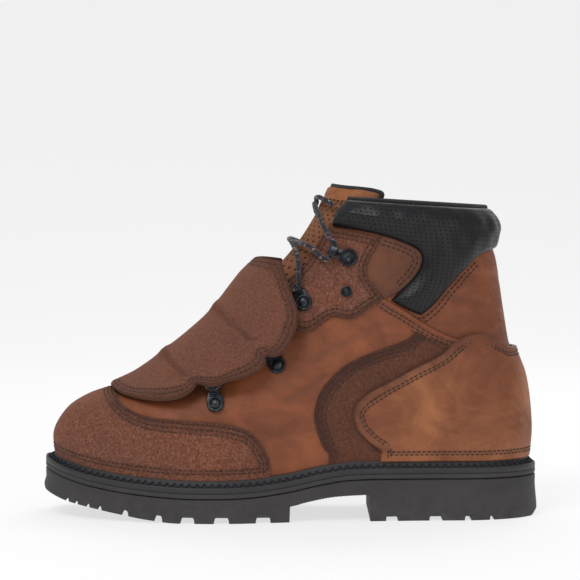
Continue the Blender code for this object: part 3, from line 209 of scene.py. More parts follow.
def creaseLines():
    lines = []
    for word, side in bothSides:
        for (a0, l0), (a1, l1), deep, wide, bow in creases[word.lower()]:
            s = np.linspace(0, 1, 15)
            level = l0 + (l1 - l0) * s
            along = a0 + (a1 - a0) * s + bow * np.sin(np.pi * s) * 1.6
            lines.append((lastSurface(angleAt(along, level, side), level), deep, wide))
    return lines


creaseSet = creaseLines()


def pressed(points):
    # How far the listed creases push the leather in, with a soft roll beside each
    depth = np.zeros(points.shape[:-1])
    for line, deep, wide in creaseSet:
        best = np.full(points.shape[:-1], 1.0)
        where = np.zeros(points.shape[:-1])
        for k in range(len(line) - 1):
            ab = line[k + 1] - line[k]
            f = np.clip(((points - line[k]) @ ab) / (ab @ ab), 0, 1)
            gap = np.linalg.norm(points - line[k] - f[..., None] * ab, axis=-1)
            near = gap < best
            best = np.where(near, gap, best)
            where = np.where(near, (k + f) / (len(line) - 1), where)
        end = np.clip(np.sin(np.pi * np.clip(where, 0.02, 0.98)) * 1.8, 0, 1)
        q = best / wide
        depth += deep * end * (np.exp(-(q * 2.2) ** 2) - 0.45 * np.exp(-((q - 1.1) * 2.0) ** 2))
    return depth


def form(theta, level, offset=0.0):
    # The dressed upper's face: the last, pressed in by the creases, then offset outwards
    p = lastSurface(theta, level)
    return p + lastNormal(theta, level) * (offset - pressed(p))[..., None]


def slitAngle(level):
    level = np.asarray(level, float)
    deep = np.where(level > throatLevel, section(level, "slit") * last["length"], 0.0)
    fx, fz = frontPoint(level)
    bx, bz = backPoint(level)
    return np.arccos(1 - 2 * np.maximum(deep, 0) / np.hypot(bx - fx, bz - fz))


print("surface ready")


# Mesh helpers
def makeMesh(name, points, faces, material, smooth=True):
    mesh = bpy.data.meshes.new(name)
    mesh.from_pydata([tuple(p) for p in np.asarray(points, float)], [], [tuple(f) for f in faces])
    mesh.materials.append(material)
    mesh.validate()
    if smooth:
        mesh.polygons.foreach_set("use_smooth", [True] * len(mesh.polygons))
    piece = bpy.data.objects.new(name, mesh)
    bpy.context.scene.collection.objects.link(piece)
    return piece


def cleaned(piece, weld=0.0, outward=False, crease=None):
    # Welds doubled points, turns the faces outwards and keeps the edges sharper than crease hard
    mesh = bmesh.new()
    mesh.from_mesh(piece.data)
    if weld:
        bmesh.ops.remove_doubles(mesh, verts=mesh.verts, dist=weld)
    if outward:
        bmesh.ops.recalc_face_normals(mesh, faces=mesh.faces)
        if mesh.calc_volume(signed=True) < 0:
            bmesh.ops.reverse_faces(mesh, faces=mesh.faces)
    for edge in mesh.edges if crease else ():
        if len(edge.link_faces) == 2 and edge.calc_face_angle(0) > crease:
            edge.smooth = False
    mesh.to_mesh(piece.data)
    mesh.free()
    return piece


def finishPanel(piece, node):
    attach(piece, "root")
    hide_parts(node)
    return piece


def giveFloat(piece, name, values):
    attribute = piece.data.attributes.new(name, "FLOAT", "POINT")
    attribute.data.foreach_set("value", np.asarray(values, np.float32))


def giveMap(piece, name, pairs):
    layer = piece.data.uv_layers.new(name=name)
    index = np.zeros(len(piece.data.loops), np.int32)
    piece.data.loops.foreach_get("vertex_index", index)
    layer.data.foreach_set("uv", np.asarray(pairs, np.float32)[index].ravel())


def gridFaces(rows, columns, closed=False, start=0, flip=False):
    faces = []
    wide = columns if closed else columns - 1
    for j in range(rows - 1):
        for i in range(wide):
            a, b = start + j * columns + i, start + j * columns + (i + 1) % columns
            quad = (a, b, b + columns, a + columns)
            faces.append(quad[::-1] if flip else quad)
    return faces


def curveThrough(points, countOf):
    # A smooth line through every point, with countOf(difference) parts from each point to the next
    points = np.asarray(points, float)
    line, end = [], len(points) - 1
    for k in range(end):
        before, a, b, after = points[max(k - 1, 0)], points[k], points[k + 1], points[min(k + 2, end)]
        count = countOf(b - a)
        for t in np.arange(count) / count:
            line.append(0.5 * (2 * a + (b - before) * t + (2 * before - 5 * a + 4 * b - after) * t * t
                               + (3 * a - before - 3 * b + after) * t**3))
    return np.array(line + [points[-1]])


def softPath(points, step):
    return curveThrough(points, lambda part: max(1, int(np.linalg.norm(part) / step)))


def onSide(rows, side, step=0.006):
    # Rows of (share of length, level) as a smooth line of (angle, level) on one side of the boot
    line = curveThrough(rows, lambda part: max(2, int(round(np.linalg.norm(part * (1, 0.08)) / step))))
    return np.stack([angleAt(line[:, 0], line[:, 1], side), line[:, 1]], -1)


def resampled(loop, step, closed=True):
    # Even places, a step apart on the boot, along a line of (angle, level)
    line = np.vstack([loop, loop[:1]]) if closed else np.asarray(loop, float)
    seg = np.linalg.norm(np.diff(onLast(line), axis=0), axis=1)
    keep = np.concatenate([[True], seg > 1e-7])
    line, seg = line[keep], seg[seg > 1e-7]
    s = np.concatenate([[0], np.cumsum(seg)])
    count = max(3, int(round(s[-1] / step)))
    at = np.linspace(0, s[-1], count + 1)
    at = at[:-1] if closed else at
    return np.stack([np.interp(at, s, line[:, 0]), np.interp(at, s, line[:, 1])], -1)


def slid(places, vectors):
    # Moves places of (angle, level) along the surface by vectors in metres
    theta, level = places[:, 0], places[:, 1]
    dt = (lastSurface(theta + 0.004, level) - lastSurface(theta - 0.004, level)) / 0.008
    up, down = np.minimum(level + 0.02, tongueLevel), np.maximum(level - 0.02, 0)
    dl = (lastSurface(theta, up) - lastSurface(theta, down)) / (up - down)[:, None]
    a, b, c = (dt * dt).sum(1), (dt * dl).sum(1), (dl * dl).sum(1)
    p, q = (dt * vectors).sum(1), (dl * vectors).sum(1)
    det = np.maximum(a * c - b * b, 1e-12)
    return places + np.stack([(p * c - q * b) / det, (a * q - b * p) / det], -1)


def inwardOf(loop, closed=True):
    points = onLast(loop)
    if closed:
        tangent = np.roll(points, -1, 0) - np.roll(points, 1, 0)
    else:
        tangent = np.gradient(points, axis=0)
    return unit(np.cross(outOf(loop), tangent))


flat = np.array([5.0, 1.0])


def within(places, loop):
    x, y = places[:, 0], places[:, 1]
    hit = np.zeros(len(places), bool)
    ax, ay = loop[:, 0], loop[:, 1]
    bx, by = np.roll(ax, 1), np.roll(ay, 1)
    for k in range(len(loop)):
        if ay[k] == by[k]:
            continue
        cross = ((ay[k] > y) != (by[k] > y)) & (x < (bx[k] - ax[k]) * (y - ay[k]) / (by[k] - ay[k]) + ax[k])
        hit ^= cross
    return hit


def turnsLeft(loop):
    # True where the loop runs anticlockwise seen from outside the boot
    x, y = loop[:, 0], loop[:, 1]
    return (x * np.roll(y, -1) - np.roll(x, -1) * y).sum() > 0


def treeOf(points):
    tree = kdtree.KDTree(len(points))
    for k, p in enumerate(points):
        tree.insert(p, k)
    tree.balance()
    return tree


def farFrom(tree, points):
    return np.array([tree.find(p)[2] for p in points])


def cutPanel(loop, spacing, bands):
    # Places, triangles and distances to the edge of a panel cut to an outline of (angle, level)
    loop = loop if turnsLeft(loop) else loop[::-1]
    rim = resampled(loop, 0.0009)
    edge = onLast(rim)
    tree = treeOf(edge)
    inward = inwardOf(rim)
    places = [rim]
    for d in bands:
        ring = slid(rim[::1 if d < 0.003 else 2], (inward * d)[::1 if d < 0.003 else 2])
        points = onLast(ring)
        gap = farFrom(tree, points)
        places.append(ring[(gap > d * 0.92) & within(ring, rim)])
    lo, hi = rim.min(0), rim.max(0)
    levels = np.linspace(lo[1], hi[1], 400)
    middle = (lo[0] + hi[0]) / 2
    path = lastSurface(np.full(400, middle), levels)
    up = np.concatenate([[0], np.cumsum(np.linalg.norm(np.diff(path, axis=0), axis=1))])
    inner = []
    for n, level in enumerate(np.interp(np.arange(spacing / 2, up[-1], spacing * 0.87), up, levels)):
        thetas = np.linspace(lo[0], hi[0], 300)
        path = lastSurface(thetas, np.full(300, level))
        run = np.concatenate([[0], np.cumsum(np.linalg.norm(np.diff(path, axis=0), axis=1))])
        at = np.interp(np.arange((n % 2) * spacing / 2, run[-1], spacing), run, thetas)
        inner.append(np.stack([at, np.full(len(at), level)], -1))
    inner = np.vstack(inner)
    inner = inner[within(inner, rim)]
    points = onLast(inner)
    gap = farFrom(tree, points)
    places.append(inner[gap > max(bands) + spacing * 0.45])
    places = np.vstack(places)
    n = len(rim)
    found = delaunay_2d_cdt([Vector(p * flat) for p in places], [(k, (k + 1) % n) for k in range(n)], [], 0, 1e-7)
    places = np.array([tuple(v) for v in found[0]]) / flat
    tris = np.array([f for f in found[2] if len(f) == 3])
    tris = tris[within(places[tris].mean(1), rim)]
    used = np.unique(tris)
    order = np.full(len(places), -1)
    order[used] = np.arange(len(used))
    places, tris = places[used], order[tris]
    a, b, c = (places[tris[:, k]] for k in range(3))
    wrong = ((b - a)[:, 0] * (c - a)[:, 1] - (b - a)[:, 1] * (c - a)[:, 0]) < 0
    tris[wrong] = tris[wrong][:, ::-1]
    points = onLast(places)
    gap = farFrom(tree, points)
    return places, tris, gap


def edgeHeight(d, thick, radius=0.0010):
    # A cut edge that rises from the leather below and rolls over to its full thickness
    return thick * np.sqrt(np.clip(1 - (1 - np.minimum(d / radius, 1)) ** 2, 0, 1))


def grooves(d, rows, deep=0.00035, wide=0.0007):
    return -deep * sum(np.exp(-((d - r) / wide) ** 2) for r in rows) if len(rows) else 0 * d


def mapOf(places):
    # Metres across and up from the back seam, for patterns that follow the surface
    thetas = np.linspace(-math.pi, math.pi, 361)
    levels = np.linspace(0, tongueLevel, 61)
    t, l = np.meshgrid(thetas, levels)
    grid = lastSurface(t, l)
    across = np.concatenate([np.zeros((61, 1)), np.cumsum(np.linalg.norm(np.diff(grid, axis=1), axis=2), 1)], 1)
    across -= across[:, -1:] / 2
    up = np.concatenate([[0], np.cumsum(np.linalg.norm(np.diff(grid[:, 250], axis=0), axis=1))])
    f = np.interp(places[:, 1], levels, np.arange(61))
    j = np.minimum(f.astype(int), 59)
    past = places[:, 0] > math.pi
    g = np.interp(places[:, 0] - 2 * math.pi * past, thetas, np.arange(361))
    i = np.minimum(g.astype(int), 359)
    f, g = f - j, g - i
    u = ((across[j, i] * (1 - g) + across[j, i + 1] * g) * (1 - f)
         + (across[j + 1, i] * (1 - g) + across[j + 1, i + 1] * g) * f)
    u = u + past * 2 * np.interp(places[:, 1], levels, across[:, -1])
    return np.stack([u, np.interp(places[:, 1], levels, up)], -1)


stitchRuns = []


def addStitches(places, height):
    stitchRuns.append((form(places[:, 0], places[:, 1], height), outOf(places)))


def seamAlong(line, inset, height, side=1, trim=0):
    # A stitch row beside an open line of (angle, level); side 1 lies to the left of its run
    line = resampled(line, 0.0015, closed=False)
    line = line[trim:len(line) - trim]
    addStitches(slid(line, inwardOf(line, closed=False) * inset * side), height)


def seamInside(loop, inset, height, keep=None):
    # A stitch row inside a closed outline, broken where keep(places) is false
    loop = loop if turnsLeft(loop) else loop[::-1]
    rim = resampled(loop, 0.0012)
    edge = onLast(rim)
    tree = treeOf(edge)
    moved = slid(rim, inwardOf(rim) * inset)
    points = onLast(moved)
    good = farFrom(tree, points) > inset * 0.62
    if keep is not None:
        good &= keep(moved)
    start = int(np.argmin(good)) if not good.all() else 0
    moved, good = np.roll(moved, -start, 0), np.roll(good, -start)
    run = []
    for place, ok in zip(moved, good):
        if ok:
            run.append(place)
        elif run:
            if len(run) > 4:
                addStitches(np.array(run), height)
            run = []
    if len(run) > 4:
        if good.all():
            run.append(run[0])
        addStitches(np.array(run), height)


# Materials: one small node-graph helper, shared groups, then each finish
class Graph:
    def __init__(self, tree):
        self.tree = tree

    def add(self, kind, values=None, **settings):
        node = self.tree.nodes.new(kind)
        for key, value in settings.items():
            setattr(node, key, value)
        for key, value in (values or {}).items():
            socket = node.inputs[key]
            if isinstance(value, bpy.types.NodeSocket):
                self.tree.links.new(value, socket)
            else:
                socket.default_value = value
        return node

    def math(self, operation, a, b=0.0, c=0.0, clamp=False):
        node = self.add("ShaderNodeMath", {0: a, 1: b, 2: c}, operation=operation, use_clamp=clamp)
        return node.outputs[0]

    def mix(self, factor, a, b, blend="MIX"):
        node = self.add("ShaderNodeMix", data_type="RGBA", blend_type=blend)
        for name, value in (("Factor", factor), ("A", a), ("B", b)):
            socket = next(s for s in node.inputs if s.name == name and s.enabled)
            if isinstance(value, bpy.types.NodeSocket):
                self.tree.links.new(value, socket)
            else:
                socket.default_value = (*value, 1) if isinstance(value, tuple) and len(value) == 3 else value
        return next(s for s in node.outputs if s.enabled)

    def ramp(self, factor, low, high):
        node = self.add("ShaderNodeMapRange", {"Value": factor, "From Min": low, "From Max": high})
        return node.outputs[0]

    def noise(self, where, scale, detail=3.0, rough=0.55, distortion=0.0):
        values = {"Vector": where, "Scale": scale, "Detail": detail, "Roughness": rough, "Distortion": distortion}
        return self.add("ShaderNodeTexNoise", values).outputs["Fac"]

    def cells(self, where, scale, feature="F1", randomness=1.0):
        values = {"Vector": where, "Scale": scale, "Randomness": randomness}
        return self.add("ShaderNodeTexVoronoi", values, feature=feature).outputs["Distance"]


def newGroup(name, inputs, outputs):
    tree = bpy.data.node_groups.new(name, "ShaderNodeTree")
    for label, kind, value in inputs:
        socket = tree.interface.new_socket(label, in_out="INPUT", socket_type=kind)
        if value is not None:
            socket.default_value = value
    for label, kind in outputs:
        tree.interface.new_socket(label, in_out="OUTPUT", socket_type=kind)
    graph = Graph(tree)
    graph.source = graph.add("NodeGroupInput").outputs
    graph.sink = graph.add("NodeGroupOutput").inputs
    return tree, graph


def useGroup(graph, tree, values):
    return graph.add("ShaderNodeGroup", values, node_tree=tree).outputs


def grainGroup():
    # Fine leather grain: small cells broken by noise, and a slow mottling of the dye
    tree, g = newGroup("hideGrain", [("Vector", "NodeSocketVector", None), ("Cell", "NodeSocketFloat", 900.0),
                                     ("Mottle", "NodeSocketFloat", 28.0)],
                       [("Height", "NodeSocketFloat"), ("Patch", "NodeSocketFloat"), ("Streak", "NodeSocketFloat")])
    where, cell, mottle = g.source["Vector"], g.source["Cell"], g.source["Mottle"]
    small = g.cells(where, cell, feature="DISTANCE_TO_EDGE")
    folds = g.noise(where, g.math("MULTIPLY", cell, 0.35), 5.0, 0.65, 0.4)
    height = g.math("ADD", g.math("MULTIPLY", g.math("MINIMUM", small, 0.18), 2.2), folds)
    g.tree.links.new(height, g.sink["Height"])
    patch = g.noise(where, mottle, 5.0, 0.6, 0.6)
    g.tree.links.new(g.ramp(patch, 0.36, 0.66), g.sink["Patch"])
    stretched = g.add("ShaderNodeMapping", {"Vector": where, "Scale": (0.8, 1.0, 1.2)}).outputs[0]
    g.tree.links.new(g.ramp(g.noise(stretched, g.math("MULTIPLY", mottle, 2.6), 4.0, 0.6, 1.2), 0.40, 0.64),
                     g.sink["Streak"])
    return tree


def napGroup():
    # Suede nap: short fibre tufts and bright specks where they catch the light
    tree, g = newGroup("suedeNap", [("Vector", "NodeSocketVector", None), ("Tuft", "NodeSocketFloat", 1300.0)],
                       [("Height", "NodeSocketFloat"), ("Speck", "NodeSocketFloat"), ("Patch", "NodeSocketFloat")])
    where, tuft = g.source["Vector"], g.source["Tuft"]
    fibres = g.noise(where, tuft, 2.0, 0.7, 0.8)
    clumps = g.noise(where, g.math("MULTIPLY", tuft, 0.42), 3.0, 0.6, 0.3)
    g.tree.links.new(g.math("ADD", fibres, g.math("MULTIPLY", clumps, 0.8)), g.sink["Height"])
    speck = g.math("MULTIPLY", g.ramp(fibres, 0.46, 0.66), g.ramp(clumps, 0.36, 0.62))
    g.tree.links.new(speck, g.sink["Speck"])
    g.tree.links.new(g.ramp(g.noise(where, 30.0, 4.0, 0.6, 0.5), 0.35, 0.68), g.sink["Patch"])
    return tree


def wearGroup():
    # Masks from a panel's own distance to its edge: the dark burnished rim and the pale cut
    tree, g = newGroup("edgeWear", [("Vector", "NodeSocketVector", None), ("Rim", "NodeSocketFloat", 0.004)],
                       [("Burnish", "NodeSocketFloat"), ("Cut", "NodeSocketFloat")])
    edge = g.add("ShaderNodeAttribute", attribute_name="edge").outputs["Fac"]
    wave = g.math("MULTIPLY", g.noise(g.source["Vector"], 160.0, 3.0), g.source["Rim"])
    far = g.math("DIVIDE", g.math("ADD", edge, g.math("SUBTRACT", wave, g.math("MULTIPLY", g.source["Rim"], 0.5))),
                 g.source["Rim"])
    g.tree.links.new(g.math("SUBTRACT", 1.0, g.ramp(far, 0.0, 1.0), clamp=True), g.sink["Burnish"])
    g.tree.links.new(g.math("LESS_THAN", edge, 0.00045), g.sink["Cut"])
    return tree


def dustGroup():
    # Faint dust that gathers low down, and fine scuffs
    tree, g = newGroup("dust", [("Vector", "NodeSocketVector", None), ("Top", "NodeSocketFloat", 0.035)],
                       [("Dust", "NodeSocketFloat"), ("Scuff", "NodeSocketFloat")])
    low = g.add("ShaderNodeSeparateXYZ", {0: g.source["Vector"]}).outputs["Z"]
    fall = g.math("SUBTRACT", 1.0, g.math("DIVIDE", low, g.source["Top"]), clamp=True)
    g.tree.links.new(g.math("MULTIPLY", fall, g.ramp(g.noise(g.source["Vector"], 90.0, 5.0, 0.7), 0.4, 0.7)),
                     g.sink["Dust"])
    long = g.add("ShaderNodeMapping", {"Vector": g.source["Vector"], "Scale": (0.18, 1.0, 1.0)}).outputs[0]
    g.tree.links.new(g.ramp(g.noise(long, 700.0, 2.0, 0.6, 0.6), 0.62, 0.72), g.sink["Scuff"])
    return tree


hideGrain, suedeNap, edgeWear, dust = grainGroup(), napGroup(), wearGroup(), dustGroup()


def newMaterial(name, **values):
    material = bpy.data.materials.new(name)
    material.use_nodes = True
    g = Graph(material.node_tree)
    g.shader = material.node_tree.nodes["Principled BSDF"]
    for key, value in values.items():
        g.shader.inputs[key.replace("_", " ")].default_value = value
    g.where = g.add("ShaderNodeTexCoord").outputs["Object"]
    return material, g


def feed(g, name, socket):
    g.tree.links.new(socket, g.shader.inputs[name])


def bump(g, height, distance, strength=1.0, under=None):
    values = {"Height": height, "Distance": distance, "Strength": strength}
    if under is not None:
        values["Normal"] = under
    return g.add("ShaderNodeBump", values).outputs["Normal"]


hide = {"base": (0.178, 0.048, 0.0165), "light": (0.290, 0.080, 0.026), "dark": (0.073, 0.023, 0.012),
        "edge": (0.070, 0.026, 0.016), "cut": (0.16, 0.062, 0.030), "rough": 0.52, "grain": 0.00010}


def smoothHide(name, look, tint=1.0):
    # Oiled full-grain leather: glowing patches, darker pull-up streaks, burnished seams, and painted shade in the
    # creases and along pressed stitch rows
    material, g = newMaterial(name, Specular_IOR_Level=0.38, Coat_Roughness=0.5)
    grain = useGroup(g, hideGrain, {"Vector": g.where, "Cell": 850.0, "Mottle": 22.0})
    wear = useGroup(g, edgeWear, {"Vector": g.where, "Rim": 0.0055})
    shade = g.add("ShaderNodeAttribute", attribute_name="shade").outputs["Fac"]
    base, light, dark = (tuple(c * tint for c in look[k]) for k in ("base", "light", "dark"))
    colour = g.mix(grain["Patch"], base, light)
    colour = g.mix(g.math("MULTIPLY", grain["Streak"], 0.30), colour, dark)
    pores = g.ramp(g.noise(g.where, 1500.0, 2.0, 0.6), 0.52, 0.72)
    colour = g.mix(g.math("MULTIPLY", pores, 0.28), colour, dark)
    colour = g.mix(g.math("MULTIPLY", wear["Burnish"], 0.62), colour, look["edge"])
    colour = g.mix(g.math("MULTIPLY", wear["Cut"], 0.8), colour, look["cut"])
    # Painted shade from the shade attribute, in the edge colour
    colour = g.mix(g.math("MULTIPLY", shade, 0.75), colour, look["edge"])
    feed(g, "Base Color", colour)
    feed(g, "Roughness", g.math("ADD", look["rough"], g.math("MULTIPLY", grain["Streak"], 0.14)))
    feed(g, "Coat Weight", g.math("MULTIPLY", grain["Patch"], 0.08))
    soft = bump(g, g.noise(g.where, 120.0, 4.0, 0.6, 0.5), 0.0006, 0.5)
    feed(g, "Normal", bump(g, grain["Height"], look["grain"], 1.0, soft))
    return material


nap = {"base": (0.172, 0.064, 0.042), "pale": (0.330, 0.168, 0.115), "dark": (0.066, 0.027, 0.020),
       "warm": (0.215, 0.073, 0.041), "edge": (0.048, 0.022, 0.018), "cut": (0.11, 0.05, 0.03)}


def nappedHide(name, look, speck=0.75, rim=0.0052, tuft=1300.0, burnish=0.6):
    # Suede: matt nap with bright specks, darker towards its stitched rim, with painted shade in the nap's hollows, the
    # creases and the pressed seams
    material, g = newMaterial(name, Roughness=0.96, Specular_IOR_Level=0.12, Sheen_Weight=0.22, Sheen_Roughness=0.55)
    g.shader.inputs["Sheen Tint"].default_value = (0.55, 0.33, 0.24, 1)
    fur = useGroup(g, suedeNap, {"Vector": g.where, "Tuft": tuft})
    wear = useGroup(g, edgeWear, {"Vector": g.where, "Rim": rim})
    shade = g.add("ShaderNodeAttribute", attribute_name="shade").outputs["Fac"]
    colour = g.mix(fur["Patch"], look["base"], look["warm"])
    colour = g.mix(g.math("MULTIPLY", fur["Speck"], speck), colour, look["pale"])
    # Painted shade: the nap is darkened where its height is low
    hollow = g.ramp(fur["Height"], 0.98, 0.72)
    colour = g.mix(g.math("MULTIPLY", hollow, 0.55), colour, look["dark"])
    colour = g.mix(g.math("MULTIPLY", wear["Burnish"], burnish), colour, look["edge"])
    colour = g.mix(g.math("MULTIPLY", wear["Cut"], 0.6), colour, look["cut"])
    # Painted shade from the shade attribute, in the edge colour
    colour = g.mix(g.math("MULTIPLY", shade, 0.75), colour, look["edge"])
    feed(g, "Base Color", colour)
    feed(g, "Normal", bump(g, fur["Height"], 0.00042))
    return material


padLook = {"base": (0.0045, 0.0045, 0.0060), "worn": (0.011, 0.011, 0.014), "pitch": 0.0029, "hole": 0.00040,
           "rough": 0.40}


def perforatedHide(name, look):
    # Black padded leather with punched holes in staggered rows, read from the piece's own map
    material, g = newMaterial(name, Specular_IOR_Level=0.36)
    spread = g.add("ShaderNodeUVMap", uv_map="skin").outputs["UV"]
    holes = None
    for shift in ((0.0, 0.0), (0.5, 0.5)):
        moved = g.add("ShaderNodeMapping", {"Vector": spread, "Location": (shift[0], shift[1], 0.0),
                                            "Scale": (1 / look["pitch"], 0.62 / look["pitch"], 1.0)}).outputs[0]
        cell = g.add("ShaderNodeVectorMath", {0: moved}, operation="FRACTION").outputs[0]
        centred = g.add("ShaderNodeVectorMath", {0: cell, 1: (0.5, 0.5, 0.0)}, operation="SUBTRACT").outputs[0]
        even = g.add("ShaderNodeVectorMath", {0: centred, 1: (1.0, 1 / 0.62, 0.0)}, operation="MULTIPLY").outputs[0]
        far = g.add("ShaderNodeVectorMath", {0: even}, operation="LENGTH").outputs["Value"]
        holes = far if holes is None else g.math("MINIMUM", holes, far)
    size = look["hole"] / look["pitch"]
    dot = g.ramp(holes, size * 1.15, size * 0.75)
    dish = g.ramp(holes, size * 0.6, size * 1.4)
    grain = useGroup(g, hideGrain, {"Vector": g.where, "Cell": 1100.0, "Mottle": 40.0})
    edge = g.add("ShaderNodeAttribute", attribute_name="edge").outputs["Fac"]
    away = g.ramp(edge, 0.0018, 0.0026)
    dot = g.math("MULTIPLY", dot, away)
    dish = g.math("ADD", g.math("MULTIPLY", dish, away), g.math("SUBTRACT", 1.0, away))
    colour = g.mix(g.math("MULTIPLY", grain["Patch"], 0.5), look["base"], look["worn"])
    # Painted shade: each punched hole is painted near black where its hollow would be
    feed(g, "Base Color", g.mix(dot, colour, (0.0015, 0.0015, 0.002)))
    feed(g, "Roughness", g.math("ADD", look["rough"], g.math("MULTIPLY", dot, 0.5)))
    punched = bump(g, dish, 0.00035, 1.0)
    feed(g, "Normal", bump(g, grain["Height"], 0.00006, 1.0, punched))
    return material


rubberLook = {"base": (0.034, 0.031, 0.032), "pale": (0.068, 0.063, 0.063), "dust": (0.20, 0.18, 0.16), "rough": 0.62}


def mouldedRubber(name, look, rough=None, tone=1.0):
    # Moulded rubber: fine mould texture, pale scuffs and a little dust near the floor
    material, g = newMaterial(name, Specular_IOR_Level=0.42)
    fine = g.noise(g.where, 2200.0, 2.0, 0.6)
    soft = g.noise(g.where, 60.0, 4.0, 0.6)
    grime = useGroup(g, dust, {"Vector": g.where, "Top": 0.022})
    base, pale = (tuple(c * tone for c in look[k]) for k in ("base", "pale"))
    colour = g.mix(g.math("MULTIPLY", g.ramp(soft, 0.35, 0.7), 0.35), base, pale)
    colour = g.mix(g.math("MULTIPLY", grime["Scuff"], 0.20), colour, pale)
    colour = g.mix(g.math("MULTIPLY", grime["Dust"], 0.16), colour, look["dust"])
    feed(g, "Base Color", colour)
    rough = look["rough"] if rough is None else rough
    feed(g, "Roughness", g.math("ADD", rough, g.math("MULTIPLY", soft, 0.16)))
    feed(g, "Normal", bump(g, g.math("ADD", fine, g.math("MULTIPLY", soft, 2.0)), 0.00009))
    return material


def blackMetal(name):
    # Japanned steel: near black, with brighter bluish patches scattered by noise
    material, g = newMaterial(name, Metallic=0.85, Specular_IOR_Level=0.6)
    wave = g.noise(g.where, 420.0, 3.0, 0.6)
    colour = g.mix(g.ramp(wave, 0.45, 0.75), (0.030, 0.032, 0.037), (0.075, 0.082, 0.095))
    feed(g, "Base Color", colour)
    feed(g, "Roughness", g.math("ADD", 0.26, g.math("MULTIPLY", wave, 0.20)))
    feed(g, "Normal", bump(g, g.noise(g.where, 1800.0, 2.0), 0.00003))
    return material


def braidedCord(name):
    # Round braid read from the lace's map: crossing strands with pale and plum tracer flecks
    material, g = newMaterial(name, Roughness=0.86, Specular_IOR_Level=0.25, Sheen_Weight=0.3)
    spread = g.add("ShaderNodeUVMap", uv_map="skin").outputs["UV"]
    part = g.add("ShaderNodeSeparateXYZ", {0: spread}).outputs
    along, around = g.math("MULTIPLY", part["X"], 560.0), g.math("MULTIPLY", part["Y"], 4.0)
    one = g.math("ADD", along, around)
    two = g.math("SUBTRACT", along, around)
    wave = [g.math("ABSOLUTE", g.math("SUBTRACT", g.math("FRACT", v), 0.5)) for v in (one, two)]
    weave = g.math("MULTIPLY", g.math("SUBTRACT", 0.5, wave[0]), g.math("SUBTRACT", 0.5, wave[1]))
    cell = g.add("ShaderNodeCombineXYZ", {0: g.math("FLOOR", one), 1: g.math("FLOOR", two)}).outputs[0]
    pick = g.add("ShaderNodeTexWhiteNoise", {"Vector": cell}, noise_dimensions="3D").outputs["Value"]
    # Painted shade: strands lighter on their crowns and darker in the grooves between them
    colour = g.mix(g.ramp(weave, 0.02, 0.16), (0.006, 0.006, 0.008), (0.040, 0.040, 0.048))
    colour = g.mix(g.math("GREATER_THAN", pick, 0.93), colour, (0.24, 0.19, 0.16))
    colour = g.mix(g.math("LESS_THAN", pick, 0.10), colour, (0.11, 0.065, 0.10))
    feed(g, "Base Color", colour)
    feed(g, "Normal", bump(g, weave, 0.0011))
    return material


def threadOf(name, colour, pale):
    material, g = newMaterial(name, Roughness=0.7, Specular_IOR_Level=0.3)
    twist = g.noise(g.where, 1600.0, 2.0, 0.6)
    feed(g, "Base Color", g.mix(g.ramp(twist, 0.4, 0.7), colour, pale))
    feed(g, "Normal", bump(g, twist, 0.0002))
    return material


def clothOf(name, colour, pale, pitch=0.0011):
    # Knitted lining or bound tape: a small over-and-under weave
    material, g = newMaterial(name, Roughness=0.92, Specular_IOR_Level=0.15, Sheen_Weight=0.2)
    part = g.add("ShaderNodeSeparateXYZ", {0: g.where}).outputs
    a = g.math("SINE", g.math("MULTIPLY", g.math("ADD", part["X"], part["Z"]), 6.28 / pitch))
    b = g.math("SINE", g.math("MULTIPLY", g.math("SUBTRACT", g.math("SUBTRACT", part["X"], part["Z"]), part["Y"]),
                              6.28 / pitch))
    weave = g.math("MULTIPLY", a, b)
    # Painted shade: the weave's raised crossings pale and the dips between them dark
    colour = g.mix(g.ramp(weave, -0.6, 0.9), colour, pale)
    feed(g, "Base Color", colour)
    feed(g, "Normal", bump(g, weave, 0.00022))
    return material


quarterHide = smoothHide("quarterHide", hide)
counterHide = smoothHide("counterHide", {**hide, "light": (0.37, 0.130, 0.045), "dark": (0.12, 0.042, 0.020)}, 1.05)
tongueHide = smoothHide("tongueHide", {**hide, "base": (0.34, 0.115, 0.038), "light": (0.46, 0.17, 0.058)})
capSuede = nappedHide("capSuede", nap, speck=0.85)
guardSuede = nappedHide("guardSuede", {**nap, "base": (0.172, 0.068, 0.048), "warm": (0.205, 0.076, 0.047)}, speck=0.42,
                        tuft=1700.0)
strapSuede = nappedHide("strapSuede", {**nap, "base": (0.105, 0.042, 0.028), "warm": (0.130, 0.048, 0.028),
                                       "pale": (0.20, 0.10, 0.068)}, speck=0.6)
staySuede = nappedHide("staySuede", {**nap, "base": (0.155, 0.060, 0.042), "pale": (0.32, 0.17, 0.12)}, speck=0.85)
padHide = perforatedHide("padHide", padLook)
soleRubber = mouldedRubber("soleRubber", rubberLook)
weltRubber = mouldedRubber("weltRubber", rubberLook, rough=0.46, tone=0.72)
metal = blackMetal("blackMetal")
cordBraid = braidedCord("cordBraid")
darkThread = threadOf("darkThread", (0.026, 0.016, 0.013), (0.072, 0.047, 0.036))
weltThread = threadOf("weltThread", (0.012, 0.014, 0.022), (0.038, 0.042, 0.058))
lining = clothOf("lining", (0.012, 0.012, 0.014), (0.030, 0.030, 0.033))
boundTape = clothOf("boundTape", (0.010, 0.010, 0.012), (0.028, 0.028, 0.032), 0.0008)
print("materials ready")


# Upper: one hollow leather wall, open at collar, throat and underneath
shell = {"columns": 260, "rows": 110, "below": 60, "top": 10.97, "lip": 0.0012}
weldWithin = 0.00002


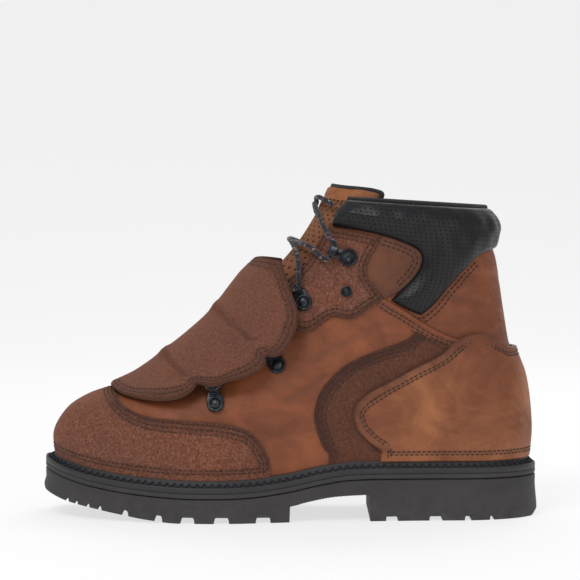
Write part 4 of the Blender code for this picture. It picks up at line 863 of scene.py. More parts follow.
def upperShell():
    rows, columns = shell["rows"], shell["columns"]
    above = np.linspace(throatLevel + 0.06, shell["top"], rows - shell["below"])
    levels = np.concatenate([np.linspace(0, throatLevel, shell["below"]), above])
    first = slitAngle(levels)[:, None]
    s = np.linspace(0, 1, columns)[None, :]
    theta = first + (2 * math.pi - 2 * first) * s
    level = np.broadcast_to(levels[:, None], theta.shape)
    outer, normal = form(theta, level), lastNormal(theta, level)
    inner = lastSurface(theta, level) - normal * last["wall"]
    middle = (outer + inner) / 2 + normal * 0.0002
    rimTop = middle[-1] + unit(outer[-1] - outer[-2]) * shell["lip"]
    points = np.vstack([outer.reshape(-1, 3), inner.reshape(-1, 3), rimTop])
    n = rows * columns
    faces = gridFaces(rows, columns) + gridFaces(rows, columns, start=n, flip=True)
    for i in range(columns - 1):
        faces.append((i + 1, i, n + i, n + i + 1))
        a, b = (rows - 1) * columns + i, (rows - 1) * columns + i + 1
        faces.append((a, b, 2 * n + i + 1, 2 * n + i))
        faces.append((2 * n + i, 2 * n + i + 1, n + b, n + a))
    for j in range(shell["below"] - 1, rows - 1):
        for i, turn in ((0, 1), (columns - 1, -1)):
            a, b = j * columns + i, (j + 1) * columns + i
            faces.append((a, b, n + b, n + a)[::turn])
    piece = makeMesh("upperLeather", points, faces, quarterHide)
    edge = np.full(len(points), 0.05)
    slit = np.minimum(np.abs(theta - first), np.abs(2 * math.pi - first - theta))
    far = np.where(level > throatLevel, slit * 0.05, 0.05)
    edge[:n] = np.minimum(far, 0.05).ravel()
    giveFloat(piece, "edge", edge)
    # Painted shade: the leather is darkened in its creases, by their depth, through the shade attribute
    shade = np.zeros(len(points))
    shade[:n] = np.clip(pressed(outer) / 0.0009, 0, 1).ravel() * 0.5
    giveFloat(piece, "shade", shade)
    piece.data.materials.append(lining)
    for face in piece.data.polygons:
        if all(n <= v < 2 * n for v in face.vertices):
            face.material_index = 1
    return finishPanel(cleaned(piece, weldWithin), "upper")


upperShell()
print("upper ready")


# Rings that follow the last's feather line, moved out in plan
def outlinePoint(theta, reach):
    here = lastSurface(theta, 0 * theta)
    along = lastSurface(theta + 0.02, 0 * theta) - lastSurface(theta - 0.02, 0 * theta)
    out = unit(np.stack([along[..., 1], -along[..., 0]], -1))
    return here[..., :2] + out * np.asarray(reach)[..., None], out


def edgeReach(theta):
    return sole["edge"] * curveAt(edgeCurve, soleShare(lastSurface(theta, 0 * theta)[..., 0]))


def leanAt(theta, height):
    # How far the upper stands out from its feather line at a height above the welt
    levels = np.linspace(0, 1.6, 40)
    t, l = np.meshgrid(theta, levels)
    p = lastSurface(t, l)
    base, out = outlinePoint(theta, 0 * theta)
    far = ((p[..., :2] - base[None]) * out[None]).sum(-1)
    rise = p[..., 2] - weltTop(p[..., 0])
    lean = np.array([np.interp(height, rise[:, k], far[:, k]) for k in range(len(theta))])
    level = np.array([np.interp(height, rise[:, k], levels) for k in range(len(theta))])
    return lean, level


# Panels cut from outlines measured on the boot: rows of (share of length, level)
outlines = {
    "capSeam": [(0.456, 0.75), (0.434, 1.36), (0.404, 1.83), (0.352, 2.10), (0.272, 2.22), (0.198, 2.33),
                (0.150, 2.78), (0.129, 3.38), (0.1225, 3.70)],
    "guardFront": [(0.1165, 3.60), (0.126, 3.45), (0.146, 3.22)],
    "lobeLow": [(0.146, 3.22), (0.190, 3.02), (0.233, 2.92), (0.275, 3.02), (0.302, 3.30), (0.311, 3.60)],
    "lobeMiddle": [(0.311, 3.60), (0.330, 3.48), (0.347, 3.46), (0.389, 3.85), (0.431, 4.35), (0.451, 4.75),
                   (0.453, 5.02)],
    "lobeHigh": [(0.453, 5.02), (0.477, 5.06), (0.508, 5.75), (0.524, 6.50), (0.516, 7.05), (0.505, 7.72)],
    "counterFront": [(0.688, 0.60), (0.661, 0.88), (0.640, 1.30), (0.630, 1.88), (0.632, 2.40), (0.645, 2.91),
                     (0.671, 3.47), (0.722, 4.18), (0.763, 4.74), (0.817, 5.38), (0.842, 5.98)],
    "counterTop": [(0.842, 5.98), (0.869, 6.27), (0.895, 6.34), (0.920, 6.16), (0.947, 5.84)],
    "strapFront": [(0.580, 0.62), (0.567, 0.85), (0.554, 1.47), (0.548, 2.23), (0.559, 3.36), (0.580, 4.19),
                   (0.620, 5.00), (0.692, 5.58), (0.728, 5.86), (0.768, 6.44)],
    "strapTop": [(0.768, 6.44), (0.800, 6.22), (0.836, 5.99)],
    "stayTop": [(0.588, 9.50), (0.645, 9.44), (0.690, 9.34)],
    "stayBack": [(0.690, 9.34), (0.682, 8.99), (0.663, 8.30), (0.664, 7.80), (0.696, 7.15)],
    "stayLow": [(0.696, 7.15), (0.645, 6.68), (0.620, 6.58), (0.588, 6.60), (0.562, 6.42), (0.531, 6.22),
                (0.500, 6.30), (0.470, 6.34)],
    "padTail": [(0.887, 8.92), (0.843, 8.05), (0.800, 7.12), (0.774, 6.78)],
    "padFoot": [(0.774, 6.78), (0.740, 6.92), (0.710, 7.14)],
    "padInner": [(0.710, 7.14), (0.729, 7.49), (0.759, 8.06), (0.774, 8.61), (0.767, 9.01), (0.736, 9.25),
                 (0.691, 9.44), (0.645, 9.53), (0.590, 9.58)],
    "padRise": [(0.590, 9.58), (0.594, 10.0), (0.604, 10.5), (0.621, 10.96)],
    "padBack": [(0.887, 8.92), (0.908, 9.18), (0.930, 9.33)],
    "quarterSeam": [(0.690, 7.16), (0.735, 6.85), (0.770, 6.60), (0.810, 6.32), (0.850, 6.04), (0.868, 5.92)],
}


def sideLine(name, side=1, step=0.006):
    return onSide(outlines[name], side, step)


def mirroredAtFront(line):
    # Joins an outer-side line that ends at the front ridge to its mirror image on the inner side
    return np.vstack([line, (line * (-1, 1))[::-1][1:]])


def mirroredAtBack(line):
    return np.vstack([line, (line * (-1, 1) + (2 * math.pi, 0))[::-1][1:]])


def footLine(angleFrom, angleTo):
    # A panel's foot, just behind the top of the welt's lip
    theta = np.linspace(angleFrom, angleTo, max(2, int(abs(angleTo - angleFrom) / 0.02)))
    return np.stack([theta, leanAt(theta, sole["lip"] - 0.0007)[1]], -1)


def clearOfSole(places):
    # 0 beside the welt, 1 from a few millimetres above it, so that seams stay out of the foot
    p = onLast(places)
    return np.clip((p[:, 2] - weltTop(p[:, 0]) - sole["lip"] - 0.0005) / 0.005, 0, 1)


def layPanel(name, loop, look, material, base=0.0, extra=None):
    # A cut panel lying on the upper: rolled edge, pressed stitch rows with painted shade along them, and a slightly
    # uneven face
    places, tris, gap = cutPanel(loop, look["mesh"], look["bands"])
    height = base + edgeHeight(gap, look["thick"], look.get("radius", 0.0010)) - 0.00025 * (gap <= 0)
    clear = clearOfSole(places)
    height = height + grooves(gap, look["rows"], look.get("press", 0.00030), look.get("pressWide", 0.0007)) * clear
    if extra is not None:
        height = height + extra(places, gap)
    points = form(places[:, 0], places[:, 1], height)
    piece = makeMesh(name, points, tris, material)
    giveFloat(piece, "edge", np.maximum(gap, (1 - clear) * 0.02))
    # Painted shade along the pressed stitch rows, through the shade attribute, at a strength set for each panel
    press = sum(np.exp(-((gap - r) / 0.0010) ** 2) for r in look["rows"]) if look["rows"] else 0 * gap
    giveFloat(piece, "shade", np.clip(press * clear * look.get("seamShade", 0.45), 0, 1))
    giveMap(piece, "skin", mapOf(places))
    return piece


def bottomLine(angleFrom, angleTo, level):
    n = max(2, int(abs(angleTo - angleFrom) / 0.02))
    return np.stack([np.linspace(angleFrom, angleTo, n), np.full(n, level)], -1)


cap = {"mesh": 0.0016, "bands": (0.0003, 0.0007, 0.0012, 0.0020, 0.0030, 0.0044), "thick": 0.0020,
       "rows": [0.0021, 0.0046, 0.0069], "seamShade": 0.6}


def toeCap():
    around = mirroredAtFront(sideLine("capSeam"))
    loop = np.vstack([around, footLine(around[-1][0], around[0][0])])
    piece = layPanel("toeCapSuede", loop, cap, capSuede)
    for inset in cap["rows"]:
        seamInside(loop, inset, cap["thick"] - 0.0002, lambda p: clearOfSole(p) > 0.2)
    return finishPanel(piece, "toe_cap")


toeCap()

counter = {"mesh": 0.0016, "bands": (0.0003, 0.0007, 0.0012, 0.0017, 0.0022, 0.0028, 0.0034, 0.0042, 0.0052, 0.0064),
           "thick": 0.0020, "rows": [0.0046, 0.0064], "over": 0.0012, "ridges": (0.0014, 0.0033), "ridge": 0.00065,
           "backLevel": 5.70, "seamShade": 0.35}


def counterPanel():
    front, top = sideLine("counterFront"), sideLine("counterTop")
    back = bottomLine(top[-1][0] + 0.03, math.pi, counter["backLevel"])
    around = mirroredAtBack(np.vstack([front, top[1:], back]))
    loop = np.vstack([around, footLine(around[-1][0], around[0][0])])

    def ridges(places, gap):
        lift = sum(counter["ridge"] * np.exp(-((gap - r) / 0.00075) ** 2) for r in counter["ridges"])
        return lift * clearOfSole(places)

    piece = layPanel("counterLeather", loop, counter, counterHide, counter["over"], ridges)
    for inset in counter["rows"]:
        seamInside(loop, inset, counter["thick"] + counter["over"] - 0.0001, lambda p: clearOfSole(p) > 0.2)
    return finishPanel(piece, "counter")


counterPanel()

strap = {"mesh": 0.0016, "bands": (0.0003, 0.0007, 0.0012, 0.0020, 0.0030), "thick": 0.0017,
         "rows": [0.0022, 0.0046, 0.0070], "topRows": (0.0030, 0.0052), "tuck": 0.012, "seamShade": 0.0}


def strapPanel(word, side):
    front, top = sideLine("strapFront", side), sideLine("strapTop", side)
    behind = onSide(np.array(outlines["counterFront"][-2::-1]) + (strap["tuck"], 0.0), side)
    loop = np.vstack([front, top[1:], behind, footLine(behind[-1][0], front[0][0])])
    piece = layPanel("strap" + word, loop, strap, strapSuede)
    for inset in strap["rows"]:
        seamAlong(front, inset, strap["thick"] - 0.0002, -side, trim=3)
    # Painted shade: a band over the front stitch rows, darkened through the shade attribute
    far = farFrom(treeOf(onLast(front)), [v.co for v in piece.data.vertices])
    seamShade = np.clip(1 - np.abs(far - strap["rows"][1]) / 0.0040, 0, 1) * 0.75
    piece.data.attributes["shade"].data.foreach_set("value", seamShade.astype(np.float32))
    for inset in strap["topRows"]:
        seamAlong(top, inset, strap["thick"] - 0.0002, -side, trim=2)
    return finishPanel(piece, "strap_" + word.lower())


for word, side in bothSides:
    strapPanel(word, side)

stay = {"mesh": 0.0014, "bands": (0.0003, 0.0007, 0.0012, 0.0020, 0.0030), "thick": 0.0021, "rows": [0.0024, 0.0050],
        "seamShade": 0.45, "levels": (6.40, 9.46), "inset": 0.012}


def stayPanel(word, side):
    top, back, low = (sideLine(k, side) for k in ("stayTop", "stayBack", "stayLow"))
    levels = np.linspace(*stay["levels"], 30)
    slit = np.stack([side * (slitAngle(levels) + stay["inset"]), levels], -1)
    loop = np.vstack([top, back[1:], low[1:], slit])
    piece = layPanel("eyestay" + word, loop, stay, staySuede)
    for inset in stay["rows"]:
        seamInside(loop, inset, stay["thick"] - 0.0002)
    return finishPanel(piece, "eyestay_" + word.lower())


for word, side in bothSides:
    stayPanel(word, side)
print("panels ready")

pad = {"mesh": 0.0014, "bands": (0.0004, 0.0009, 0.0016, 0.0026, 0.0038), "thick": 0.0022, "swell": 0.0062,
       "reach": 0.013, "pull": 0.00045, "top": 11.0, "backLevel": 9.35, "rows": (0.0022, 0.0048)}


def padHeight(gap):
    # Full in the middle, pulled down to a sewn edge
    rise = np.clip(gap / pad["reach"], 0, 1)
    return edgeHeight(gap, pad["thick"], 0.0016) + pad["swell"] * np.sin(rise * math.pi / 2) ** 0.8


def collarPad():
    inner, foot, tail = sideLine("padInner"), sideLine("padFoot"), sideLine("padTail")
    rise = sideLine("padRise")
    top = bottomLine(rise[-1][0] + 0.02, math.pi, pad["top"])
    upperLine = mirroredAtBack(np.vstack([rise, top]))
    back = sideLine("padBack")[::-1]
    lowOuter = np.vstack([back, tail[1:], foot[1:], inner[1:]])
    lowInner = (lowOuter * (-1, 1) + (2 * math.pi, 0))[::-1]
    acrossBack = bottomLine(lowInner[-1][0], lowOuter[0][0], pad["backLevel"])
    loop = np.vstack([upperLine, lowInner[1:], acrossBack[1:-1], lowOuter[:-1]])
    places, tris, gap = cutPanel(loop, pad["mesh"], pad["bands"])
    pull = pad["pull"] * np.sin(places[:, 0] * 21) * np.sin(places[:, 1] * 3.1 + 1) * np.clip(gap / 0.006, 0, 1)
    points = form(places[:, 0], places[:, 1], padHeight(gap) + pull)
    piece = makeMesh("collarPad", points, tris, padHide)
    giveFloat(piece, "edge", gap)
    giveFloat(piece, "shade", np.zeros(len(gap)))
    giveMap(piece, "skin", mapOf(places))
    line = np.vstack([tail, foot[1:]])
    for inset in pad["rows"]:
        for side in (1, -1):
            seamAlong(line * (side, 1), inset, 0.0002, side, trim=1)
    return finishPanel(piece, "collar_pad")


collarPad()
print("pad ready")

guard = {"mesh": 0.0014, "bands": (0.0003, 0.0008, 0.0014, 0.0022, 0.0034, 0.0048), "lift": 0.0092,
         "thin": 0.0019, "thick": 0.0032, "rows": [0.0030, 0.0056], "crease": 0.0007, "start": 0.108}
guardCreases = [[(0.356, 6.36), (0.374, 6.16), (0.399, 5.88), (0.428, 5.52)],
                [(0.240, 5.02), (0.254, 4.78), (0.272, 4.44), (0.292, 4.02)]]
liftCurve = ((0.0, 0.0), (0.15, 0.10), (0.50, 0.58), (0.85, 0.95), (1.0, 1.0))


def guardLift(places):
    share = (onLast(places)[:, 0] - toeX) / last["length"]
    ramp = curveAt(liftCurve, np.clip((share - guard["start"]) / 0.36, 0, 1))
    onCap = 0.0014 * np.clip((0.175 - share) / 0.05, 0, 1)
    return last["gap"] * 2 + onCap + guard["lift"] * ramp * (1 + 0.36 * np.minimum(np.abs(places[:, 0]) / 1.396, 1))


ridgeEase = ((3.5, 0.0), (3.9, 0.0010), (4.3, 0.0012), (4.97, -0.0002), (5.4, -0.0014), (5.75, -0.0018), (6.1, -0.0022),
             (6.5, -0.0014), (6.9, 0.0), (7.2, 0.0008), (7.7, 0.0004))


def guardForm(places, height):
    # The flap bridges the instep's folds, so it follows an eased last
    face, out = 0, 0
    for step, share in ((-1.0, 1), (-0.75, 2), (-0.5, 3), (-0.25, 4), (0, 4), (0.25, 4), (0.5, 3), (0.75, 2), (1.0, 1)):
        reach = np.clip((places[:, 1] - 4.2) / 0.8, 0, 1) * np.clip((8.3 - places[:, 1]) / 0.8, 0, 1)
        level = places[:, 1] + step * reach
        face = face + lastSurface(places[:, 0], level) * share / 24
        out = out + lastNormal(places[:, 0], level) * share / 24
    out = out / np.linalg.norm(out, axis=-1, keepdims=True)
    ease = curveAt(ridgeEase, places[:, 1]) * np.clip(1.1 - np.abs(places[:, 0]), 0, 1) ** 1.5
    return face + out * (np.asarray(height) + ease)[:, None], out


def guardThick(places):
    share = (onLast(places)[:, 0] - toeX) / last["length"]
    return guard["thin"] + (guard["thick"] - guard["thin"]) * np.clip((share - guard["start"]) / 0.12, 0, 1)


def guardPanel():
    front, low, middle, high = (sideLine(k) for k in ("guardFront", "lobeLow", "lobeMiddle", "lobeHigh"))
    corner = high[-1]
    top = np.stack([np.linspace(corner[0], 0, 26)[1:], corner[1] - 0.14 * np.linspace(0, 1, 26)[1:]], -1)
    around = np.vstack([np.array([[0.0, 3.66]]), front, low[1:], middle[1:], high[1:], top])
    loop = np.vstack([around, (around * (-1, 1))[::-1][1:-1]])
    places, tris, gap = cutPanel(loop, guard["mesh"], guard["bands"])
    lift = guardLift(places)
    thick = guardThick(places)
    face = lift + thick + grooves(gap, guard["rows"], 0.00035, 0.0009)
    fold = 0 * gap
    for rows in guardCreases:
        far = np.full(len(places), 1.0)
        for side in (1, -1):
            line = onSide(rows, side, 0.002)
            tree = treeOf(onLast(line))
            far = np.minimum(far, farFrom(tree, onLast(places)))
        face += guard["crease"] * (np.exp(-((far - 0.0019) / 0.0010) ** 2) - 0.8 * np.exp(-(far / 0.0010) ** 2))
        # Painted shade along each fold
        fold = fold + 0.45 * np.exp(-(far / 0.0011) ** 2)
    roll = np.sqrt(np.clip(1 - (1 - np.minimum(gap / 0.0012, 1)) ** 2, 0, 1))
    middleFace = lift + thick * 0.5
    upperFace = middleFace + (face - middleFace) * roll
    lowerFace = middleFace + (lift - middleFace) * roll
    n = len(places)
    theta, level = places[:, 0], places[:, 1]
    points = np.vstack([guardForm(places, upperFace)[0], guardForm(places, lowerFace)[0]])
    mesh = np.vstack([tris, tris[:, ::-1] + n])
    piece = makeMesh("metGuard", points, mesh, guardSuede)
    giveFloat(piece, "edge", np.concatenate([gap, gap * 0]))
    # Painted shade: darker in the stitch grooves and the folds, and over the whole underside; the last millimetre of
    # the rim darker too
    press = sum(np.exp(-((gap - r) / 0.0010) ** 2) for r in guard["rows"]) * 0.55 + fold
    giveFloat(piece, "shade", np.concatenate([np.clip(press + (gap < 0.001) * 0.4, 0, 1), np.full(n, 0.8)]))
    giveMap(piece, "skin", np.vstack([mapOf(places)] * 2))
    cleaned(piece, weldWithin)
    loop = loop if turnsLeft(loop) else loop[::-1]
    rim = resampled(loop, 0.0012)
    edge = onLast(rim)
    tree = treeOf(edge)
    for inset in guard["rows"]:
        moved = slid(rim, inwardOf(rim) * inset)
        far = farFrom(tree, onLast(moved))
        good = far > inset * 0.9
        moved = moved[good]
        start = int(np.argmax(np.linalg.norm(np.diff(onLast(moved), axis=0), axis=1))) + 1
        moved = np.roll(moved, -start, 0)
        stitchRuns.append(guardForm(moved, guardLift(moved) + guardThick(moved) - 0.0003))
    return finishPanel(piece, "met_guard")


guardPanel()
print("guard ready")


# Tongue: padded, rising into the slit, suede below and smooth glowing leather at its top
tongue = {"clear": 0.0020, "thick": 0.0050, "columns": 90, "rows": 90, "from": 5.55, "top": 11.97, "crown": 0.0012,
          "seam": 10.95,
          "edge": [(5.55, 0.020), (6.0, 0.035), (7.0, 0.080), (8.0, 0.095), (9.0, 0.095), (10.0, 0.100),
                   (11.0, 0.112), (11.55, 0.110), (11.8, 0.085), (11.97, 0.040)]}


def backAngle(level, behind):
    fx, fz = frontPoint(level)
    bx, bz = backPoint(level)
    return np.arccos(1 - 2 * np.minimum(behind * last["length"] / np.hypot(bx - fx, bz - fz), 1))


def tongueDepth(theta, level):
    # The tongue lies under the wall and rises into the slit
    edge = slitAngle(np.maximum(level - 0.8, 0))
    low = -(last["wall"] + tongue["clear"])
    share = np.clip((edge - 0.105 - np.abs(theta)) / np.maximum(edge, 0.05), 0, 1)
    return low - low * np.sin(share * math.pi / 2) * (edge > 0.105)


def tonguePiece():
    levels = np.linspace(tongue["from"], tongue["top"], tongue["rows"])
    wide = backAngle(levels, curveAt(tongue["edge"], levels))
    s = np.linspace(-1, 1, tongue["columns"])
    theta = wide[:, None] * s[None, :]
    level = np.broadcast_to(levels[:, None], theta.shape)
    depth = tongueDepth(theta, level)
    flatPoints = lastSurface(theta, level)
    gap = (1 - np.abs(s[None, :])) * np.linalg.norm(flatPoints[:, :1] - flatPoints[:, -1:], axis=2) / 2
    gap = np.minimum(gap, np.linalg.norm(flatPoints[-1:] - flatPoints, axis=2) + 0 * gap)
    roll = np.sqrt(np.clip(1 - (1 - np.minimum(gap / 0.0024, 1)) ** 2, 0, 1))
    puff = tongue["crown"] * np.clip(np.sin(np.clip((level - 7.2) * 1.1, 0, 3)), 0, 1)
    half = tongue["thick"] / 2
    normal = lastNormal(theta, level)
    seam = -0.0007 * np.exp(-((level - tongue["seam"]) / 0.035) ** 2) - 0.0005 * np.exp(-((gap - 0.007) / 0.0009) ** 2)
    outer = flatPoints + normal * (depth - half + (half + puff + seam) * roll)[..., None]
    inner = flatPoints + normal * (depth - half - half * roll)[..., None]
    points = np.vstack([outer.reshape(-1, 3), inner.reshape(-1, 3)])
    n = outer.shape[0] * outer.shape[1]
    rows, columns = outer.shape[:2]
    faces = gridFaces(rows, columns) + gridFaces(rows, columns, start=n, flip=True)
    ring = [(0, i) for i in range(columns)] + [(j, columns - 1) for j in range(1, rows)]
    ring += [(rows - 1, i) for i in range(columns - 2, -1, -1)] + [(j, 0) for j in range(rows - 2, 0, -1)]
    index = [j * columns + i for j, i in ring]
    for a, b in zip(index, index[1:] + index[:1]):
        faces.append((b, a, n + a, n + b))
    piece = makeMesh("tongueLeather", points, faces, tongueSuede)
    piece.data.materials.append(tongueHide)
    smoothPart = (level > tongue["seam"]).ravel()
    for face in piece.data.polygons:
        if all(smoothPart[v % n] for v in face.vertices):
            face.material_index = 1
    giveFloat(piece, "edge", np.tile(gap.ravel() + 0.002, 2))
    # Painted shade along the pressed seam between the suede and the smooth leather
    giveFloat(piece, "shade", np.tile(np.exp(-((level.ravel() - tongue["seam"]) / 0.04) ** 2), 2) * 0.6)
    giveMap(piece, "skin", np.tile(np.stack([theta * 0.03, level * 0.014], -1).reshape(-1, 2), (2, 1)))
    cleaned(piece, weldWithin)
    for where in (10.87, 11.03):
        t = np.linspace(-0.9, 0.9, 60)
        line = np.stack([t * backAngle(np.full(60, where), curveAt(tongue["edge"], np.full(60, where))),
                         np.full(60, where)], -1)
        addStitches(line, tongueDepth(line[:, 0], line[:, 1]) + 0.0001)
    return finishPanel(piece, "tongue")


tongueSuede = perforatedHide("tongueSuede", {"base": (0.235, 0.092, 0.045), "worn": (0.33, 0.145, 0.075),
                                             "pitch": 0.0036, "hole": 0.00052, "rough": 0.9})
tonguePiece()


def sweepTube(name, path, radius, material, sides=12, closed=False, squash=1.0, ends=True):
    # A round bar along a path, its rings kept from twisting, its map in metres along and turns around
    path = np.asarray(path, float)
    ahead = np.roll(path, -1, 0) - np.roll(path, 1, 0) if closed else np.gradient(path, axis=0)
    tangent = unit(ahead)
    normal = np.zeros_like(path)
    normal[0] = unit(np.cross(tangent[0], (0.13, 0.27, 0.95)))
    for k in range(1, len(path)):
        n = normal[k - 1] - tangent[k] * (normal[k - 1] @ tangent[k])
        normal[k] = n / np.linalg.norm(n)
    other = np.cross(tangent, normal)
    a = np.linspace(0, 2 * math.pi, sides, endpoint=False)
    radius = np.broadcast_to(np.asarray(radius, float), (len(path),))[:, None, None]
    ring = normal[:, None] * np.cos(a)[None, :, None] + other[:, None] * np.sin(a)[None, :, None] * squash
    points = path[:, None] + ring * radius
    rows = len(path)
    flat3 = points.reshape(-1, 3)
    faces = []
    for j in range(rows if closed else rows - 1):
        for i in range(sides):
            b = (i + 1) % sides
            k = (j + 1) % rows
            faces.append((j * sides + i, j * sides + b, k * sides + b, k * sides + i))
    if not closed and ends:
        tips = path[:1] - tangent[:1] * radius[0, 0] * 0.6, path[-1:] + tangent[-1:] * radius[-1, 0] * 0.6
        flat3 = np.vstack([flat3, *tips])
        n = rows * sides
        for i in range(sides):
            b = (i + 1) % sides
            faces.append((b, i, n))
            faces.append(((rows - 1) * sides + i, (rows - 1) * sides + b, n + 1))
    piece = makeMesh(name, flat3, faces, material)
    run = np.concatenate([[0], np.cumsum(np.linalg.norm(np.diff(path, axis=0), axis=1))])
    layer = piece.data.uv_layers.new(name="skin")
    uv = np.zeros((len(piece.data.loops), 2), np.float32)
    for face in piece.data.polygons:
        cols = [v % sides if v < rows * sides else 0 for v in face.vertices]
        wrap = max(cols) - min(cols) > sides / 2
        for loop, v, c in zip(face.loop_indices, face.vertices, cols):
            row = v // sides if v < rows * sides else (0 if v == rows * sides else rows - 1)
            uv[loop] = (run[row], (c + (sides if wrap and c == 0 else 0)) / sides)
    layer.data.foreach_set("uv", uv.ravel())
    return piece


binding = {"radius": 0.0017, "tongue": 0.0015}


def bindings():
    # Bound tapes: along the collar's top edge and over the tongue's rim
    first = float(slitAngle(np.array(10.97)))
    theta = np.linspace(first + 0.02, 2 * math.pi - first - 0.02, 260)
    level = np.full(260, 10.99)
    line = lastSurface(theta, level) - lastNormal(theta, level) * 0.0004 + np.array((0, 0, 0.0006))
    collar = sweepTube("collarBinding", line, binding["radius"], boundTape, 10, squash=1.0)
    finishPanel(collar, "collar_pad")
    levels = np.linspace(10.9, tongue["top"], 40)
    side = backAngle(levels, curveAt(tongue["edge"], levels))
    up = np.stack([side, levels], -1)
    over = np.stack([np.linspace(side[-1], -side[-1], 24)[1:-1], np.full(22, tongue["top"])], -1)
    rim = np.vstack([up, over, (up * (-1, 1))[::-1]])
    depth = tongueDepth(rim[:, 0], rim[:, 1]) - tongue["thick"] / 2
    line = onLast(rim) + outOf(rim) * depth[:, None]
    tape = sweepTube("tongueBinding", line, binding["tongue"], boundTape, 10, squash=1.6)
    finishPanel(tape, "tongue")


bindings()


def raisedSeam(side, word):
    # The quarter's upper edge: a narrow rolled rim with two stitch rows below it, from the eyestay to the counter
    line = resampled(sideLine("quarterSeam", side), 0.0012, closed=False)
    down = -side * inwardOf(line, closed=False)
    offsets = np.array([-0.0012, -0.0009, -0.0003, 0.0004, 0.0010, 0.0017, 0.0026, 0.0036, 0.0046, 0.0064])
    heights = np.array([-0.0002, 0.0009, 0.0014, 0.0015, 0.0011, 0.0007, 0.0003, 0.0006, 0.0003, -0.0002])
    onStrap = 0.0015 * np.clip((np.linspace(0, 1, len(line)) - 0.40) / 0.06, 0, 1)
    rows = []
    for off, high in zip(offsets, heights):
        moved = slid(line, down * off)
        rows.append(form(moved[:, 0], moved[:, 1], high + onStrap))
    piece = makeMesh("quarterSeam" + word, np.vstack(rows), gridFaces(len(rows), len(line), flip=side > 0), quarterHide)
    giveFloat(piece, "edge", np.full(len(rows) * len(line), 0.02))
    # Painted shade: darker at the foot of the rolled rim and in the stitch rows, none on its crest
    giveFloat(piece, "shade", np.repeat([0.6, 0.3, 0.0, 0.0, 0.1, 0.3, 0.6, 0.2, 0.5, 0.2], len(line)))
    for off in (0.0026, 0.0046):
        moved = slid(line, down * off)[2:-2]
        addStitches(moved, 0.0004 + onStrap[2:-2])
    return finishPanel(piece, "upper")


for word, side in bothSides:
    raisedSeam(side, word)
print("tongue and seams ready")


# Sole: built on rings moved out in plan from the feather line
def rootHeight(x):
    s = soleShare(x)
    spring = sole["toeSpring"] * curveAt(springCurve, s) + sole["lug"]
    share = np.clip((s - tread["end"]) / (tread["breast"] - tread["end"]), 0, 1)
    shank = sole["arch"] + (sole["breast"] - sole["arch"]) * curveAt(((0, 0), (0.6, 0.85), (1, 1)), share)
    return np.where(s < tread["end"], spring, np.where(s < tread["breast"], shank, sole["lug"]))


tread = {"end": 0.500, "breast": 0.659, "flare": 0.0016, "serration": 0.00045, "pitch": 0.0016, "bevel": 0.0042,
         "notches": [(66.5, 3.2, 2.2), (76, 3.0, 2.2), (88, 3.2, 2.4), (100, 3.6, 2.8), (125.7, 6, 4.0),
                     (159.3, 7.5, 5.0), (188.4, 13, 6.0), (222.4, 14, 6.2), (263.8, 13.5, 6.2),
                     (392, 11, 6.0), (436, 12, 6.0), (468, 6, 4.2), (492, 4, 3.0)]}


photo = {"middle": 290.1, "scale": 1586.5, "away": 1.5, "sideY": -0.048, "notchScale": 1600, "notchEase": 1.06}


def pixelX(px):
    # Where a column of the photo falls on the sole's outer side
    return (px - photo["middle"]) / (photo["scale"] * photo["away"] / (photo["away"] + photo["sideY"]))


def notchHalf(wide):
    return wide / photo["notchScale"] / 2 * photo["notchEase"]


def archCut(x):
    # How far the rounded notches between lugs rise above the lugs' faces, as a share of lug depth
    cut = 0 * x
    for px, wide, high in tread["notches"]:
        c, half = pixelX(px), notchHalf(wide)
        q = np.clip(np.abs(x - c) / half, 0, 1)
        cut = np.maximum(cut, np.where(np.abs(x - c) < half, high / 6.2 * (1 - q**3) ** 0.5, 0))
    return cut


